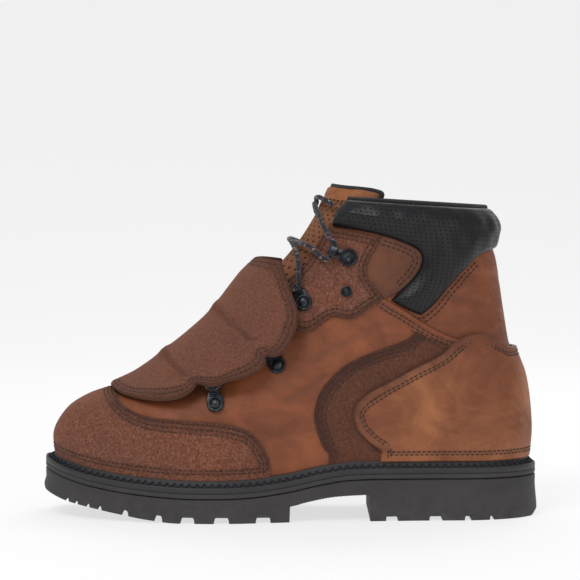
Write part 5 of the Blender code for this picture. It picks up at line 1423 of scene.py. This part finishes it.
def outsole():
    base = np.linspace(0, math.pi, 260)
    ringX = outlinePoint(base, edgeReach(base))[0][:, 0]
    otherX = outlinePoint(-base, edgeReach(base))[0][:, 0]
    extra = []
    for px, wide, _ in tread["notches"]:
        c, half = pixelX(px), notchHalf(wide)
        extra += [c + half * f for f in (-1.02, -0.999, -0.97, -0.9, -0.75, -0.5, 0, 0.5, 0.75, 0.9, 0.97, 0.999, 1.02)]
    for s in (tread["end"], tread["breast"]):
        x = soleFront + s * soleLength
        extra += [x - 0.0002, x + 0.0002, x - 0.0009, x + 0.0009]
    serrate = np.arange(soleFront + (tread["end"] + 0.02) * soleLength, soleFront + tread["breast"] * soleLength,
                        tread["pitch"] / 4)
    theta = np.unique(np.concatenate([base, np.interp(np.concatenate([extra, serrate]), ringX, base)]))
    outerXY, outerOut = outlinePoint(theta, edgeReach(theta))
    x = outerXY[:, 0]
    other = np.interp(x, otherX, base)
    other[0], other[-1] = 0.0, math.pi
    innerXY, innerOut = outlinePoint(-other, edgeReach(other))
    top = midsoleTop(x) - last["gap"] - sole["midsole"] - 0.0002
    root = rootHeight(x)
    s = soleShare(x)
    treaded = (s < tread["end"]) | (s > tread["breast"])
    lug = np.where(treaded, sole["lug"], 0)
    cut = np.where(treaded, archCut(x), 0)
    bevel = np.clip(tread["bevel"] - (x.max() - x), 0, 1) * 0.9 + np.clip(0.0016 - (x - x.min()), 0, 1) * 1.5
    saw = tread["serration"] * np.abs(((x - soleFront) / tread["pitch"] % 1) * 2 - 1)
    saw = saw * (s > tread["end"] + 0.01) * (s < tread["breast"])
    face = root - lug + saw + bevel
    low = face + cut * lug
    flare = tread["flare"] * curveAt(((0, -1), (0.1, -0.3), (0.2, 0), (0.8, 0), (0.9, 0.3), (1, 1)), s)

    def spot(side, push, z, lean=0.0):
        xy, o = (outerXY, outerOut) if side > 0 else (innerXY, innerOut)
        p = xy + o * push
        return np.stack([p[:, 0] + flare * lean, p[:, 1], z], -1)

    def wallRings(side):
        rows = [spot(side, push, top - drop) for push, drop in
                ((-0.0014, 0.0), (-0.0004, 0.0004), (0.0, 0.0010), (0.0, 0.0030), (-0.0001, 0.0060))]
        for share in (0.25, 0.5, 0.75, 0.9):
            z = (top - 0.0060) * (1 - share) + (low + 0.0006) * share
            rows.append(spot(side, -0.0002 - 0.0002 * share, z, share))
        rows.append(spot(side, -0.0005, low + 0.0004, 1.0))
        rows.append(spot(side, -0.0009, low, 1.0))
        return rows

    outerRows, innerRows = wallRings(1), wallRings(-1)
    a, b = outerRows[-1], innerRows[-1]
    # Across the tread: notched edge lugs, a solid bar, then the channels beside the centre lugs
    marks = [(0.03, "edge"), (0.09, "edge"), (0.15, "edge"), (0.20, "half"), (0.24, "bar"), (0.31, "bar"),
             (0.322, "gap"), (0.340, "gap"), (0.36, "gap"), (0.375, "mid"), (0.39, "mid"), (0.44, "mid"), (0.50, "mid")]
    marks += [(1 - m, k) for m, k in marks[-2::-1]]
    arrow = 0.009
    ends = np.clip((x.max() - 0.012 - x) / 0.002, 0, 1) * np.clip((x - x.min() - 0.012) / 0.002, 0, 1)
    across = []
    for v, kind in marks:
        shift = arrow * (1 - abs(v - 0.5) / 0.14)
        middle = np.where(treaded, np.clip(archCut(x - shift * 0.6) * 1.15, 0, 1), 0) * ends
        value = {"edge": cut, "half": cut * 0.45, "bar": 0 * cut, "gap": treaded * ends, "mid": middle}[kind]
        p = a * (1 - v) + b * v
        across.append(np.stack([p[:, 0], p[:, 1], face + value * lug], -1))
    points = np.stack(outerRows + across + innerRows[::-1], 1)
    n, m = points.shape[:2]
    faces = []
    for j in range(n - 1):
        for i in range(m):
            k = (i + 1) % m
            faces.append((j * m + i, j * m + k, (j + 1) * m + k, (j + 1) * m + i))
    piece = makeMesh("outsoleRubber", points.reshape(-1, 3), faces, soleRubber)
    return finishPanel(cleaned(piece, 0.00003, outward=True, crease=0.55), "outsole")


outsole()
print("outsole ready")


def ringSweep(name, profile, material, count=560, hollow=None):
    # A closed profile of (outwards, height) functions carried round the boot
    theta = np.linspace(0, 2 * math.pi, count, endpoint=False)
    reach = edgeReach(theta)
    rows = []
    for outBy, up, levelAt in profile(theta, reach):
        xy, _ = outlinePoint(theta, outBy)
        rows.append(np.stack([xy[:, 0], xy[:, 1], levelAt(xy[:, 0]) + up], -1))
    points = np.stack(rows, 1)
    n, m = points.shape[:2]
    faces = [(j * m + i, j * m + (i + 1) % m, (j + 1) % n * m + (i + 1) % m, (j + 1) % n * m + i)
             for j in range(n) for i in range(m)]
    return cleaned(makeMesh(name, points.reshape(-1, 3), faces, material), outward=True)


welt = {"stitchPitch": 0.0046, "thread": 0.00050}


def channelAt(theta, share):
    # The welt's hollow stitched face, from below the bead (0) out to the rim (1): distance out, and height
    crest = leanAt(theta, sole["lip"] * 0.95)[0] + 0.0020
    rim = edgeReach(theta) - 0.0016
    return crest + (rim - crest) * share, 0.0002 + (sole["lip"] - 0.0019) * (1 - share) ** 1.7


def weltProfile(theta, reach):
    high = sole["lip"]
    lean = [leanAt(theta, h)[0] for h in (0.0, high * 0.5, high * 0.95)]
    crest = lean[2] + 0.0002
    at = [(lean[0] - 0.0002, -0.0030), (lean[0] + 0.0001, 0.0), (lean[1] + 0.0001, high * 0.5),
          (crest - 0.0001, high - 0.0005), (crest + 0.0003, high), (crest + 0.0008, high + 0.0001),
          (crest + 0.0013, high - 0.0003), (crest + 0.0016, high - 0.0009)]
    at += [channelAt(theta, share) for share in (0.0, 0.15, 0.32, 0.5, 0.7, 0.88, 1.0)]
    at += [(reach - 0.0013, 0.0005), (reach - 0.0007, 0.0006), (reach - 0.0002, 0.0003), (reach, -0.0004),
           (reach, -0.0031), (lean[0] + 0.0015, -0.0031)]
    return [(np.broadcast_to(o, theta.shape), up, weltTop) for o, up in at]


finishPanel(ringSweep("weltRubber", weltProfile, weltRubber), "welt")


def midsoleProfile(theta, reach):
    bottom = -(sole["midsole"] + last["gap"])
    at = [(0.0002, -0.0002), (reach - 0.0001, -0.0001), (reach, -0.0003), (reach, bottom + 0.0008),
          (reach - 0.0004, bottom + 0.0002), (reach - 0.0014, bottom), (0.0002, bottom)]
    return [(np.broadcast_to(o, theta.shape), up, midsoleTop) for o, up in at]


finishPanel(ringSweep("midsoleRubber", midsoleProfile, soleRubber), "midsole")


def insole():
    theta = np.linspace(0, 2 * math.pi, 240, endpoint=False)
    edge = lastSurface(theta, 0 * theta) - lastNormal(theta, 0 * theta + 0.02) * (last["wall"] + 0.0009)
    z = midsoleTop(edge[:, 0]) + last["gap"]
    rings = []
    thick = sole["insole"]
    for shrink, up in ((0.5, 0.0), (1.0, 0.0), (1.0, thick * 0.7), (0.985, thick), (0.5, thick)):
        middle = np.stack([edge[:, 0] * (0.35 + 0.65 * shrink) if shrink < 0.9 else edge[:, 0] * shrink,
                           edge[:, 1] * shrink], -1)
        rings.append(np.column_stack([middle, midsoleTop(middle[:, 0]) + last["gap"] + up]))
    points = np.vstack(rings)
    n = len(theta)
    faces = gridFaces(5, n, closed=True)
    faces += [tuple(range(n)), tuple(range(4 * n, 5 * n))[::-1]]
    piece = makeMesh("insoleBoard", points, faces, lining)
    return finishPanel(cleaned(piece, outward=True), "insole")


insole()
print("sole ready")


# Ear panel: smooth duller hide between the eyestay and the pad
earHide = smoothHide("earHide", {**hide, "base": (0.118, 0.038, 0.015), "light": (0.185, 0.060, 0.023)})
ear = {"mesh": 0.0016, "bands": (0.0003, 0.0008, 0.0014, 0.0024), "thick": 0.0010, "rows": [], "radius": 0.0008}


def earPanel(word, side):
    inner = outlines["padInner"]
    line = [(0.696, 7.15)] + [(a + 0.004, l + 0.02) for a, l in inner[1:7]] + [(0.688, 9.40)]
    padSide = onSide(line, side)
    back = np.array(outlines["stayBack"]) - (0.012, 0.0)
    staySide = onSide(back[1:-1], side)
    loop = np.vstack([padSide, staySide])
    piece = layPanel("earPanel" + word, loop, ear, earHide)
    edge = onSide(inner[1:7], side)
    for inset in (0.0026, 0.0050):
        seamAlong(edge, inset, ear["thick"] + 0.0001, side, trim=2)
    return finishPanel(piece, "upper")


for word, side in bothSides:
    earPanel(word, side)


# Hardware: each piece is set out in its own frame of length, across and out
class Seat:
    def __init__(self, seat, aim, side, lift):
        theta = angleAt(seat[0], seat[1], side)
        here = lastSurface(theta, seat[1])
        self.out = lastNormal(theta, seat[1])
        towards = lastSurface(angleAt(aim[0], aim[1], side), aim[1]) - here
        self.long = unit(towards - self.out * (towards @ self.out))
        self.across = np.cross(self.out, self.long)
        self.origin = here + self.out * lift

    def at(self, u, v, w):
        u, v, w = (np.asarray(q, float)[..., None] for q in (u, v, w))
        return self.origin + self.long * u + self.across * v + self.out * w


hardware = {"ringSeats": [((0.343, 3.05), (0.340, 3.70)), ((0.472, 4.96), (0.450, 5.45)),
                          ((0.529, 6.84), (0.511, 7.32))],
            "hookSeat": ((0.623, 8.43), (0.583, 8.62)), "studSeat": ((0.617, 7.27), (0.600, 7.60)),
            "plate": 0.0011, "wide": 0.0104, "reach": 0.0092, "loop": 0.0024, "wire": 0.0012, "loopHigh": 0.0032,
            "rivet": 0.0066, "overlay": 0.0018, "seat": 0.0007, "hookReach": 0.0125, "hookRise": 0.0064,
            "hookHalf": 0.0030, "hookDisc": 0.0108, "stud": 0.0068, "lace": 0.0030}


def lathe(seat, profile, sides=28):
    # Rings of (radius, height) about the seat's outward axis, as points and faces
    a = np.linspace(0, 2 * math.pi, sides, endpoint=False)
    rows = [seat.at(r * np.cos(a), r * np.sin(a), np.full(sides, h)) for r, h in profile]
    points = np.vstack(rows)
    faces = gridFaces(len(profile), sides, closed=True)
    faces.append(tuple(range(sides))[::-1])
    top = (len(profile) - 1) * sides
    faces.append(tuple(range(top, top + sides)))
    return points, faces


def extruded(seat, outline, profile):
    # An outline of (u, v) raised through steps of (shrink in metres, height)
    line = np.asarray(outline, float)
    tangent = unit(np.roll(line, -1, 0) - np.roll(line, 1, 0))
    normal = np.stack([tangent[:, 1], -tangent[:, 0]], -1)
    rows = []
    for shrink, high in profile:
        p = line - normal * shrink
        rows.append(seat.at(p[:, 0], p[:, 1], np.full(len(p), high)))
    n = len(line)
    faces = gridFaces(len(profile), n, closed=True)
    faces.append(tuple(range(n))[::-1])
    top = (len(profile) - 1) * n
    faces.append(tuple(range(top, top + n)))
    return np.vstack(rows), faces


def bent(seat, path, half, thick, steps=5):
    # A strip bent along a path of (u, w), rounded across its width
    path = softPath(path, 0.0003)
    tangent = unit(np.gradient(path, axis=0))
    normal = np.stack([-tangent[:, 1], tangent[:, 0]], -1)
    corner = 0.0005
    plate = [(-half + corner, -thick / 2), (half - corner, -thick / 2), (half, -thick / 2 + corner * 0.6),
                (half, thick / 2 - corner * 0.6), (half - corner, thick / 2), (-half + corner, thick / 2),
                (-half, thick / 2 - corner * 0.6), (-half, -thick / 2 + corner * 0.6)]
    rows = []
    for v, w in plate:
        p = path + normal * w
        rows.append(seat.at(p[:, 0], np.full(len(p), v), p[:, 1]))
    points = np.stack(rows, 1).reshape(-1, 3)
    m = len(plate)
    faces = gridFaces(len(path), m, closed=True)
    faces += [tuple(range(m))[::-1], tuple(range((len(path) - 1) * m, len(path) * m))]
    return points, faces


def assembled(name, parts, material):
    points, faces = [], []
    for p, f in parts:
        faces += [tuple(v + sum(len(q) for q in points) for v in face) for face in f]
        points.append(p)
    return cleaned(makeMesh(name, np.vstack(points), faces, material), outward=True, crease=0.6)


def torusPart(seat, u, v, w, radius, wire, plane="flat", sides=10, turns=32, squash=1.0):
    a = np.linspace(0, 2 * math.pi, turns, endpoint=False)
    points = []
    for b in np.linspace(0, 2 * math.pi, sides, endpoint=False):
        r = radius + wire / 2 * math.cos(b)
        h = wire / 2 * math.sin(b) * squash
        if plane == "flat":
            points.append(seat.at(u + r * np.cos(a), v + r * np.sin(a), np.full(turns, w + h)))
        else:
            points.append(seat.at(u + r * np.cos(a), np.full(turns, v + h), w + r * np.sin(a)))
    points = np.stack(points, 1).reshape(-1, 3)
    faces = [(j * sides + i, j * sides + (i + 1) % sides, (j + 1) % turns * sides + (i + 1) % sides,
              (j + 1) % turns * sides + i) for j in range(turns) for i in range(sides)]
    return points, faces


def dRing(number, word, side):
    size = hardware
    lift = size["seat"] + (last["gap"] + size["overlay"] if number == 3 else 0)
    seat = Seat(*size["ringSeats"][number - 1], side, lift)
    half, reach, plate = size["wide"] / 2, size["reach"], size["plate"]
    turns = np.linspace(math.pi / 2, 3 * math.pi / 2, 22)
    line = [(half * math.cos(a), half * math.sin(a)) for a in turns]
    line += [(reach * 0.30, -half * 0.99), (reach * 0.62, -half * 0.86), (reach * 0.86, -half * 0.66),
             (reach + 0.0006, -half * 0.52), (reach + 0.0010, 0.0), (reach + 0.0006, half * 0.52),
             (reach * 0.86, half * 0.66), (reach * 0.62, half * 0.86), (reach * 0.30, half * 0.99)]
    parts = [extruded(seat, line, [(0.0, -0.0002), (0.0, plate * 0.55), (0.0003, plate * 0.9), (0.0007, plate)]),
             torusPart(seat, 0, 0, plate, half * 0.80, 0.0013, squash=0.85)]
    r = size["rivet"] / 2
    parts.append(lathe(seat, [(r, plate * 0.5), (r, plate + 0.0003), (r * 0.97, plate + 0.0008),
                              (r * 0.85, plate + 0.0014), (r * 0.62, plate + 0.0019), (r * 0.3, plate + 0.0022)]))
    for u in (0.0052, 0.0064, 0.0076):
        parts.append(bent(seat, [(u - 0.00035, plate), (u, plate + 0.0005), (u + 0.00035, plate)], half * 0.55, 0.0006))
    parts.append(torusPart(seat, reach, 0, size["loopHigh"], size["loop"], size["wire"], "upright"))
    piece = assembled(f"dRing{number}{word}", parts, metal)
    return seat, finishPanel(piece, f"ring_{number}_{word.lower()}")


def lacingHook(word, side):
    size = hardware
    seat = Seat(*size["hookSeat"], side, size["seat"] + last["gap"] + size["overlay"])
    half, plate, reach, rise = size["hookDisc"] / 2, size["plate"], size["hookReach"], size["hookRise"]
    parts = [lathe(seat, [(half, 0.0), (half, plate * 0.8), (half * 0.95, plate * 1.25), (half * 0.86, plate * 1.5),
                          (half * 0.76, plate * 1.25), (half * 0.72, plate * 0.9)], 36)]
    r = size["rivet"] / 2
    parts.append(lathe(seat, [(r, plate * 0.5), (r, plate * 1.5), (r * 0.93, plate * 1.9), (r * 0.8, plate * 1.9),
                              (r * 0.66, plate * 1.5), (r * 0.3, plate * 1.15), (r * 0.1, plate * 1.1)], 30))
    t = plate * 0.95
    curl = [(half * 0.6, t / 2), (reach - 0.0030, t / 2), (reach - 0.0010, t / 2 + 0.0003), (reach - t / 2, 0.0017),
            (reach - t / 2 + 0.0001, rise * 0.5), (reach - t / 2, rise - 0.0016), (reach - 0.0013, rise - 0.0007),
            (reach - 0.0030, rise - t / 2 + 0.0002), (reach - 0.0056, rise - t / 2 + 0.0006)]
    parts.append(bent(seat, curl, size["hookHalf"], t))
    for w in (0.0018, 0.0030, 0.0042):
        parts.append(bent(seat, [(reach - 0.0001, w - 0.0003), (reach + 0.0003, w), (reach - 0.0001, w + 0.0003)],
                          size["hookHalf"] * 0.86, 0.0005))
    piece = assembled(f"lacingHook{word}", parts, metal)
    stud = Seat(*size["studSeat"], side, size["seat"] + last["gap"] + size["overlay"])
    r = size["stud"] / 2
    rings = [(r, -0.0004), (r, 0.0008), (r * 0.94, 0.0013), (r * 0.84, 0.0014), (r * 0.76, 0.0011), (r * 0.68, 0.0010),
             (r * 0.60, 0.0013), (r * 0.50, 0.0018), (r * 0.36, 0.0020), (r * 0.26, 0.0018), (r * 0.18, 0.0014),
             (r * 0.06, 0.0013)]
    rivet = assembled(f"studRivet{word}", [lathe(stud, rings, 32)], metal)
    finishPanel(rivet, f"stud_{word.lower()}")
    return seat, finishPanel(piece, f"hook_{word.lower()}")


seats = {}
for word, side in bothSides:
    for number in (1, 2, 3):
        seats[number, side] = dRing(number, word, side)[0]
    seats["hook", side] = lacingHook(word, side)[0]
print("hardware ready")


# Lace: two braided strands through the rings and round the hooks, crossing over the tongue
lace = {"step": 0.0118, "dip": 0.0042, "bow": 0.7, "topBow": 0.2, "crossing": 10.6, "ends": (0.590, 10.65),
        "endLift": 0.0006, "radius": 0.0015}


def lastSkin():
    t, l = np.meshgrid(np.linspace(0, 2 * math.pi, 160), np.linspace(0, tongueLevel, 90))
    points = lastSurface(t, l).reshape(-1, 3)
    return BVHTree.FromPolygons([tuple(p) for p in points], gridFaces(90, 160))


def laceLoops():
    size = hardware
    loops = {}
    for (number, side), seat in seats.items():
        if number == "hook":
            reach, high = size["hookReach"] - 0.0029, size["plate"] + size["lace"] / 2 + last["gap"]
            half = size["hookHalf"] + size["lace"] / 2 + last["gap"] * 2
        else:
            reach, high, half = size["reach"], size["loopHigh"], size["lace"]
        turn = [(0.0044, half + 0.0010), (0.0014, half), (0.0, half * 0.42)]
        way = [seat.at(reach + u, -v, high) for u, v in turn] + [seat.at(reach + u, v, high) for u, v in turn[::-1]]
        loops[number, side] = way if way[0][0] < way[-1][0] else way[::-1]
    return loops


def laceRun(skin, start, end, liftStart, liftEnd, bow=None):
    bow = lace["bow"] if bow is None else bow
    long = np.linalg.norm(end - start)
    count = max(3, round(long / lace["step"]))
    run = []
    for k in range(1, count):
        f = k / count
        above = start + (end - start) * f + np.array((-0.6, 0, 0.8)) * long * bow * math.sin(math.pi * f) ** 0.7
        spot, out, _, _ = skin.find_nearest(Vector(above))
        if out.dot(Vector(above) - spot) < 0:
            out = -out
        lift = liftStart if f < 0.5 else liftEnd
        run.append(np.array(spot + out * (lace["dip"] + (lift - lace["dip"]) * abs(2 * f - 1))))
    return run


def overTongue(side, lifted):
    # From the top ring up beside the flap's corner, level across the tongue, and out to the hook
    rows = [(0.64, 7.92, 0.0062), (0.44, 8.32, 0.0050), (0.20, 8.58, 0.0038 + lifted * 0.7),
            (0.0, 8.64, 0.0034 + lifted), (-0.20, 8.66, 0.0038 + lifted * 0.7), (-0.44, 8.62, 0.0048), (-0.62, 8.56, 0.0058)]
    return [lastSurface(side * t, l) + lastNormal(side * t, l) * h for t, l, h in rows]


def laceStrands():
    skin, loops = lastSkin(), laceLoops()
    low = hardware["seat"] + hardware["loopHigh"]
    high = low + last["gap"] * 4 + hardware["overlay"]
    crossing = lastSurface(0.0, lace["crossing"]) + lastNormal(0.0, lace["crossing"]) * lace["dip"] * 0.5
    strands = []
    for first, bar in ((1, True), (-1, False)):
        way = loops[1, first]
        if bar:
            other = loops[1, -first]
            path = other[3::-1] + laceRun(skin, other[0], way[0], low, low) + way
        else:
            path = way[3:]
        side = first
        for number, lift in ((2, low), (3, high), ("hook", high)):
            way = loops[number, -side]
            between = laceRun(skin, path[-1], way[0], lift, lift)
            if number == "hook":
                between = overTongue(side, 0.0030 if bar else 0.0)
            path = path + between + way
            side = -side
        theta = angleAt(lace["ends"][0], lace["ends"][1], -side)
        end = lastSurface(theta, lace["ends"][1]) + lastNormal(theta, lace["ends"][1]) * lace["endLift"]
        path = path + laceRun(skin, path[-1], crossing, high, lace["dip"], lace["topBow"]) + [crossing]
        path = path + laceRun(skin, crossing, end, lace["dip"], lace["dip"], lace["topBow"]) + [end]
        strands.append(softPath(path, 0.0007))
    return strands


for number, path in enumerate(laceStrands()):
    wave = 1 + 0.05 * np.sin(np.arange(len(path)) * 0.9)
    strand = sweepTube(f"laceStrand{number + 1}", path, lace["radius"] * wave, cordBraid, 12)
    finishPanel(strand, "lace")
print("lace ready")


# Stitches: one tree lays a short thread capsule along every seam path
def stitchTree(name, material, pitch, long, thick):
    tree = bpy.data.node_groups.new(name, "GeometryNodeTree")
    for label, kind, value in (("Geometry", "NodeSocketGeometry", None), ("Pitch", "NodeSocketFloat", pitch),
                               ("Length", "NodeSocketFloat", long), ("Thickness", "NodeSocketFloat", thick)):
        socket = tree.interface.new_socket(label, in_out="INPUT", socket_type=kind)
        if value is not None:
            socket.default_value = value
    tree.interface.new_socket("Geometry", in_out="OUTPUT", socket_type="NodeSocketGeometry")
    g = Graph(tree)
    source, sink = g.add("NodeGroupInput").outputs, g.add("NodeGroupOutput").inputs
    curve = g.add("GeometryNodeMeshToCurve", {"Mesh": source["Geometry"]}).outputs[0]
    even = g.add("GeometryNodeResampleCurve", {"Curve": curve, "Length": source["Pitch"]}, mode="LENGTH").outputs[0]
    outward = g.add("GeometryNodeInputNamedAttribute", {"Name": "outward"}, data_type="FLOAT_VECTOR").outputs[0]
    tangent = g.add("GeometryNodeInputTangent").outputs[0]
    turn = g.add("FunctionNodeAxesToRotation", {"Primary Axis": outward, "Secondary Axis": tangent},
                 primary_axis="Z", secondary_axis="X").outputs[0]
    ball = g.add("GeometryNodeMeshUVSphere", {"Segments": 6, "Rings": 4, "Radius": 0.5}).outputs[0]
    size = g.add("ShaderNodeCombineXYZ", {0: source["Length"], 1: source["Thickness"],
                                          2: source["Thickness"]}).outputs[0]
    stitch = g.add("GeometryNodeTransform", {"Geometry": ball, "Scale": size}).outputs[0]
    laid = g.add("GeometryNodeInstanceOnPoints", {"Points": even, "Instance": stitch, "Rotation": turn}).outputs[0]
    real = g.add("GeometryNodeRealizeInstances", {"Geometry": laid}).outputs[0]
    shaded = g.add("GeometryNodeSetShadeSmooth", {"Geometry": real}).outputs[0]
    done = g.add("GeometryNodeSetMaterial", {"Geometry": shaded, "Material": material}).outputs[0]
    tree.links.new(done, sink["Geometry"])
    return tree


stitchLook = {"pitch": 0.0031, "long": 0.0026, "thick": 0.00085}


def layStitches(name, runs, material, look):
    points, edges, outs = [], [], []
    for line, out in runs:
        base = len(points)
        points += [tuple(p) for p in line]
        outs += [tuple(o) for o in out]
        edges += [(base + k, base + k + 1) for k in range(len(line) - 1)]
    mesh = bpy.data.meshes.new(name)
    mesh.from_pydata(points, edges, [])
    attribute = mesh.attributes.new("outward", "FLOAT_VECTOR", "POINT")
    attribute.data.foreach_set("vector", np.array(outs, np.float32).ravel())
    piece = bpy.data.objects.new(name, mesh)
    bpy.context.scene.collection.objects.link(piece)
    tree = stitchTree(name + "Rows", material, look["pitch"], look["long"], look["thick"])
    modifier = piece.modifiers.new("rows", "NODES")
    modifier.node_group = tree
    for item in tree.interface.items_tree:
        if item.in_out == "INPUT" and item.name.lower() in ("pitch", "length", "thickness"):
            key = {"pitch": "pitch", "length": "long", "thickness": "thick"}[item.name.lower()]
            modifier[item.identifier] = look[key]
    graph = bpy.context.evaluated_depsgraph_get()
    finished = bpy.data.meshes.new_from_object(piece.evaluated_get(graph))
    piece.modifiers.clear()
    piece.data = finished
    finished.name = name
    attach(piece, "root")
    return piece


seamStitches = layStitches("seamStitches", stitchRuns, darkThread, stitchLook)


def weltStitches():
    coarse = np.linspace(0, 2 * math.pi, 721)
    theta = np.linspace(0, 2 * math.pi, 3600, endpoint=False)
    low, high = channelAt(coarse, 0.12), channelAt(coarse, 0.86)
    a = np.interp(theta, coarse, low[0]), low[1]
    b = np.interp(theta, coarse, high[0]), high[1]
    xy, _ = outlinePoint(theta, (a[0] + b[0]) / 2)
    run = np.concatenate([[0], np.cumsum(np.linalg.norm(np.diff(xy, axis=0), axis=1))])
    turns = round(run[-1] / welt["stitchPitch"])
    zig = np.abs((run / run[-1] * turns % 1) * 2 - 1)
    xy, _ = outlinePoint(theta, a[0] * (1 - zig) + b[0] * zig + 0.0003)
    sag = 0.0004 + 0.0009 * zig * (zig - 1)
    path = np.column_stack([xy, weltTop(xy[:, 0]) + a[1] * (1 - zig) + b[1] * zig + sag])[::2]
    piece = sweepTube("weltThread", path, welt["thread"], weltThread, 6, closed=True)
    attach(piece, "root")
    return piece


weltStitches()
print("stitches ready")


# Set: pale floor that runs up into a wall, soft lamps, the photo's camera
studio = {"paper": 0.32, "glow": 0.68, "world": 0.42, "seen": 0.887, "key": 10.0, "front": 4.0, "rim": 5.0,
          "lens": 149.4, "sensor": 36.0, "away": 1.5, "high": 0.2, "tilt": 2.33}


def paperSweep():
    profile = [(-3.0, 0.0), (1.2, 0.0)] + [(1.2 + 1.6 * math.sin(a), 1.6 - 1.6 * math.cos(a))
                                           for a in np.linspace(0.05, math.pi / 2, 24)] + [(2.8, 6.0)]
    points = [(x, y, z) for y, z in profile for x in (-5.0, 5.0)]
    faces = [(2 * k, 2 * k + 1, 2 * k + 3, 2 * k + 2) for k in range(len(profile) - 1)]
    material, g = newMaterial("paperSweep", Roughness=0.95, Specular_IOR_Level=0.1)
    tone = g.mix(g.noise(g.where, 4.0, 4.0), (studio["paper"],) * 3, (studio["paper"] * 1.01,) * 3)
    feed(g, "Base Color", tone)
    g.shader.inputs["Emission Color"].default_value = (1, 1, 1, 1)
    g.shader.inputs["Emission Strength"].default_value = studio["glow"]
    piece = makeMesh("paperSweep", points, faces, material)


def addLamp(name, where, size, power, aim=(0, 0, 0.08)):
    light = bpy.data.lights.new(name, "AREA")
    light.energy, light.size, light.shape = power, size, "DISK"
    lamp = bpy.data.objects.new(name, light)
    lamp.location = where
    lamp.rotation_euler = (Vector(aim) - Vector(where)).to_track_quat("-Z", "Y").to_euler()
    bpy.context.scene.collection.objects.link(lamp)


def addCamera():
    data = bpy.data.cameras.new("photoCamera")
    data.lens, data.sensor_width = studio["lens"], studio["sensor"]
    camera = bpy.data.objects.new("photoCamera", data)
    camera.location = (0, -studio["away"], studio["high"])
    camera.rotation_euler = (math.radians(90 - studio["tilt"]), 0, 0)
    bpy.context.scene.collection.objects.link(camera)
    bpy.context.scene.camera = camera


def addRoom():
    world = bpy.data.worlds.new("paleRoom")
    world.use_nodes = True
    light = world.node_tree.nodes["Background"]
    light.inputs["Color"].default_value = (1, 1, 1, 1)
    light.inputs["Strength"].default_value = studio["world"]
    nodes, links = world.node_tree.nodes, world.node_tree.links
    backdrop = nodes.new("ShaderNodeBackground")
    backdrop.inputs["Color"].default_value = (1, 1, 1, 1)
    backdrop.inputs["Strength"].default_value = studio["seen"]
    chosen = nodes.new("ShaderNodeMixShader")
    links.new(nodes.new("ShaderNodeLightPath").outputs["Is Camera Ray"], chosen.inputs[0])
    links.new(light.outputs[0], chosen.inputs[1])
    links.new(backdrop.outputs[0], chosen.inputs[2])
    links.new(chosen.outputs[0], nodes["World Output"].inputs["Surface"])
    bpy.context.scene.world = world


paperSweep()
addLamp("keyLamp", (-0.55, -1.05, 1.35), 0.8, studio["key"])
addLamp("frontLamp", (0.9, -1.5, 0.7), 1.1, studio["front"])
addLamp("rimLamp", (0.3, 0.9, 1.2), 0.8, studio["rim"])
addRoom()
addCamera()
bpy.context.scene.view_settings.view_transform = "Standard"
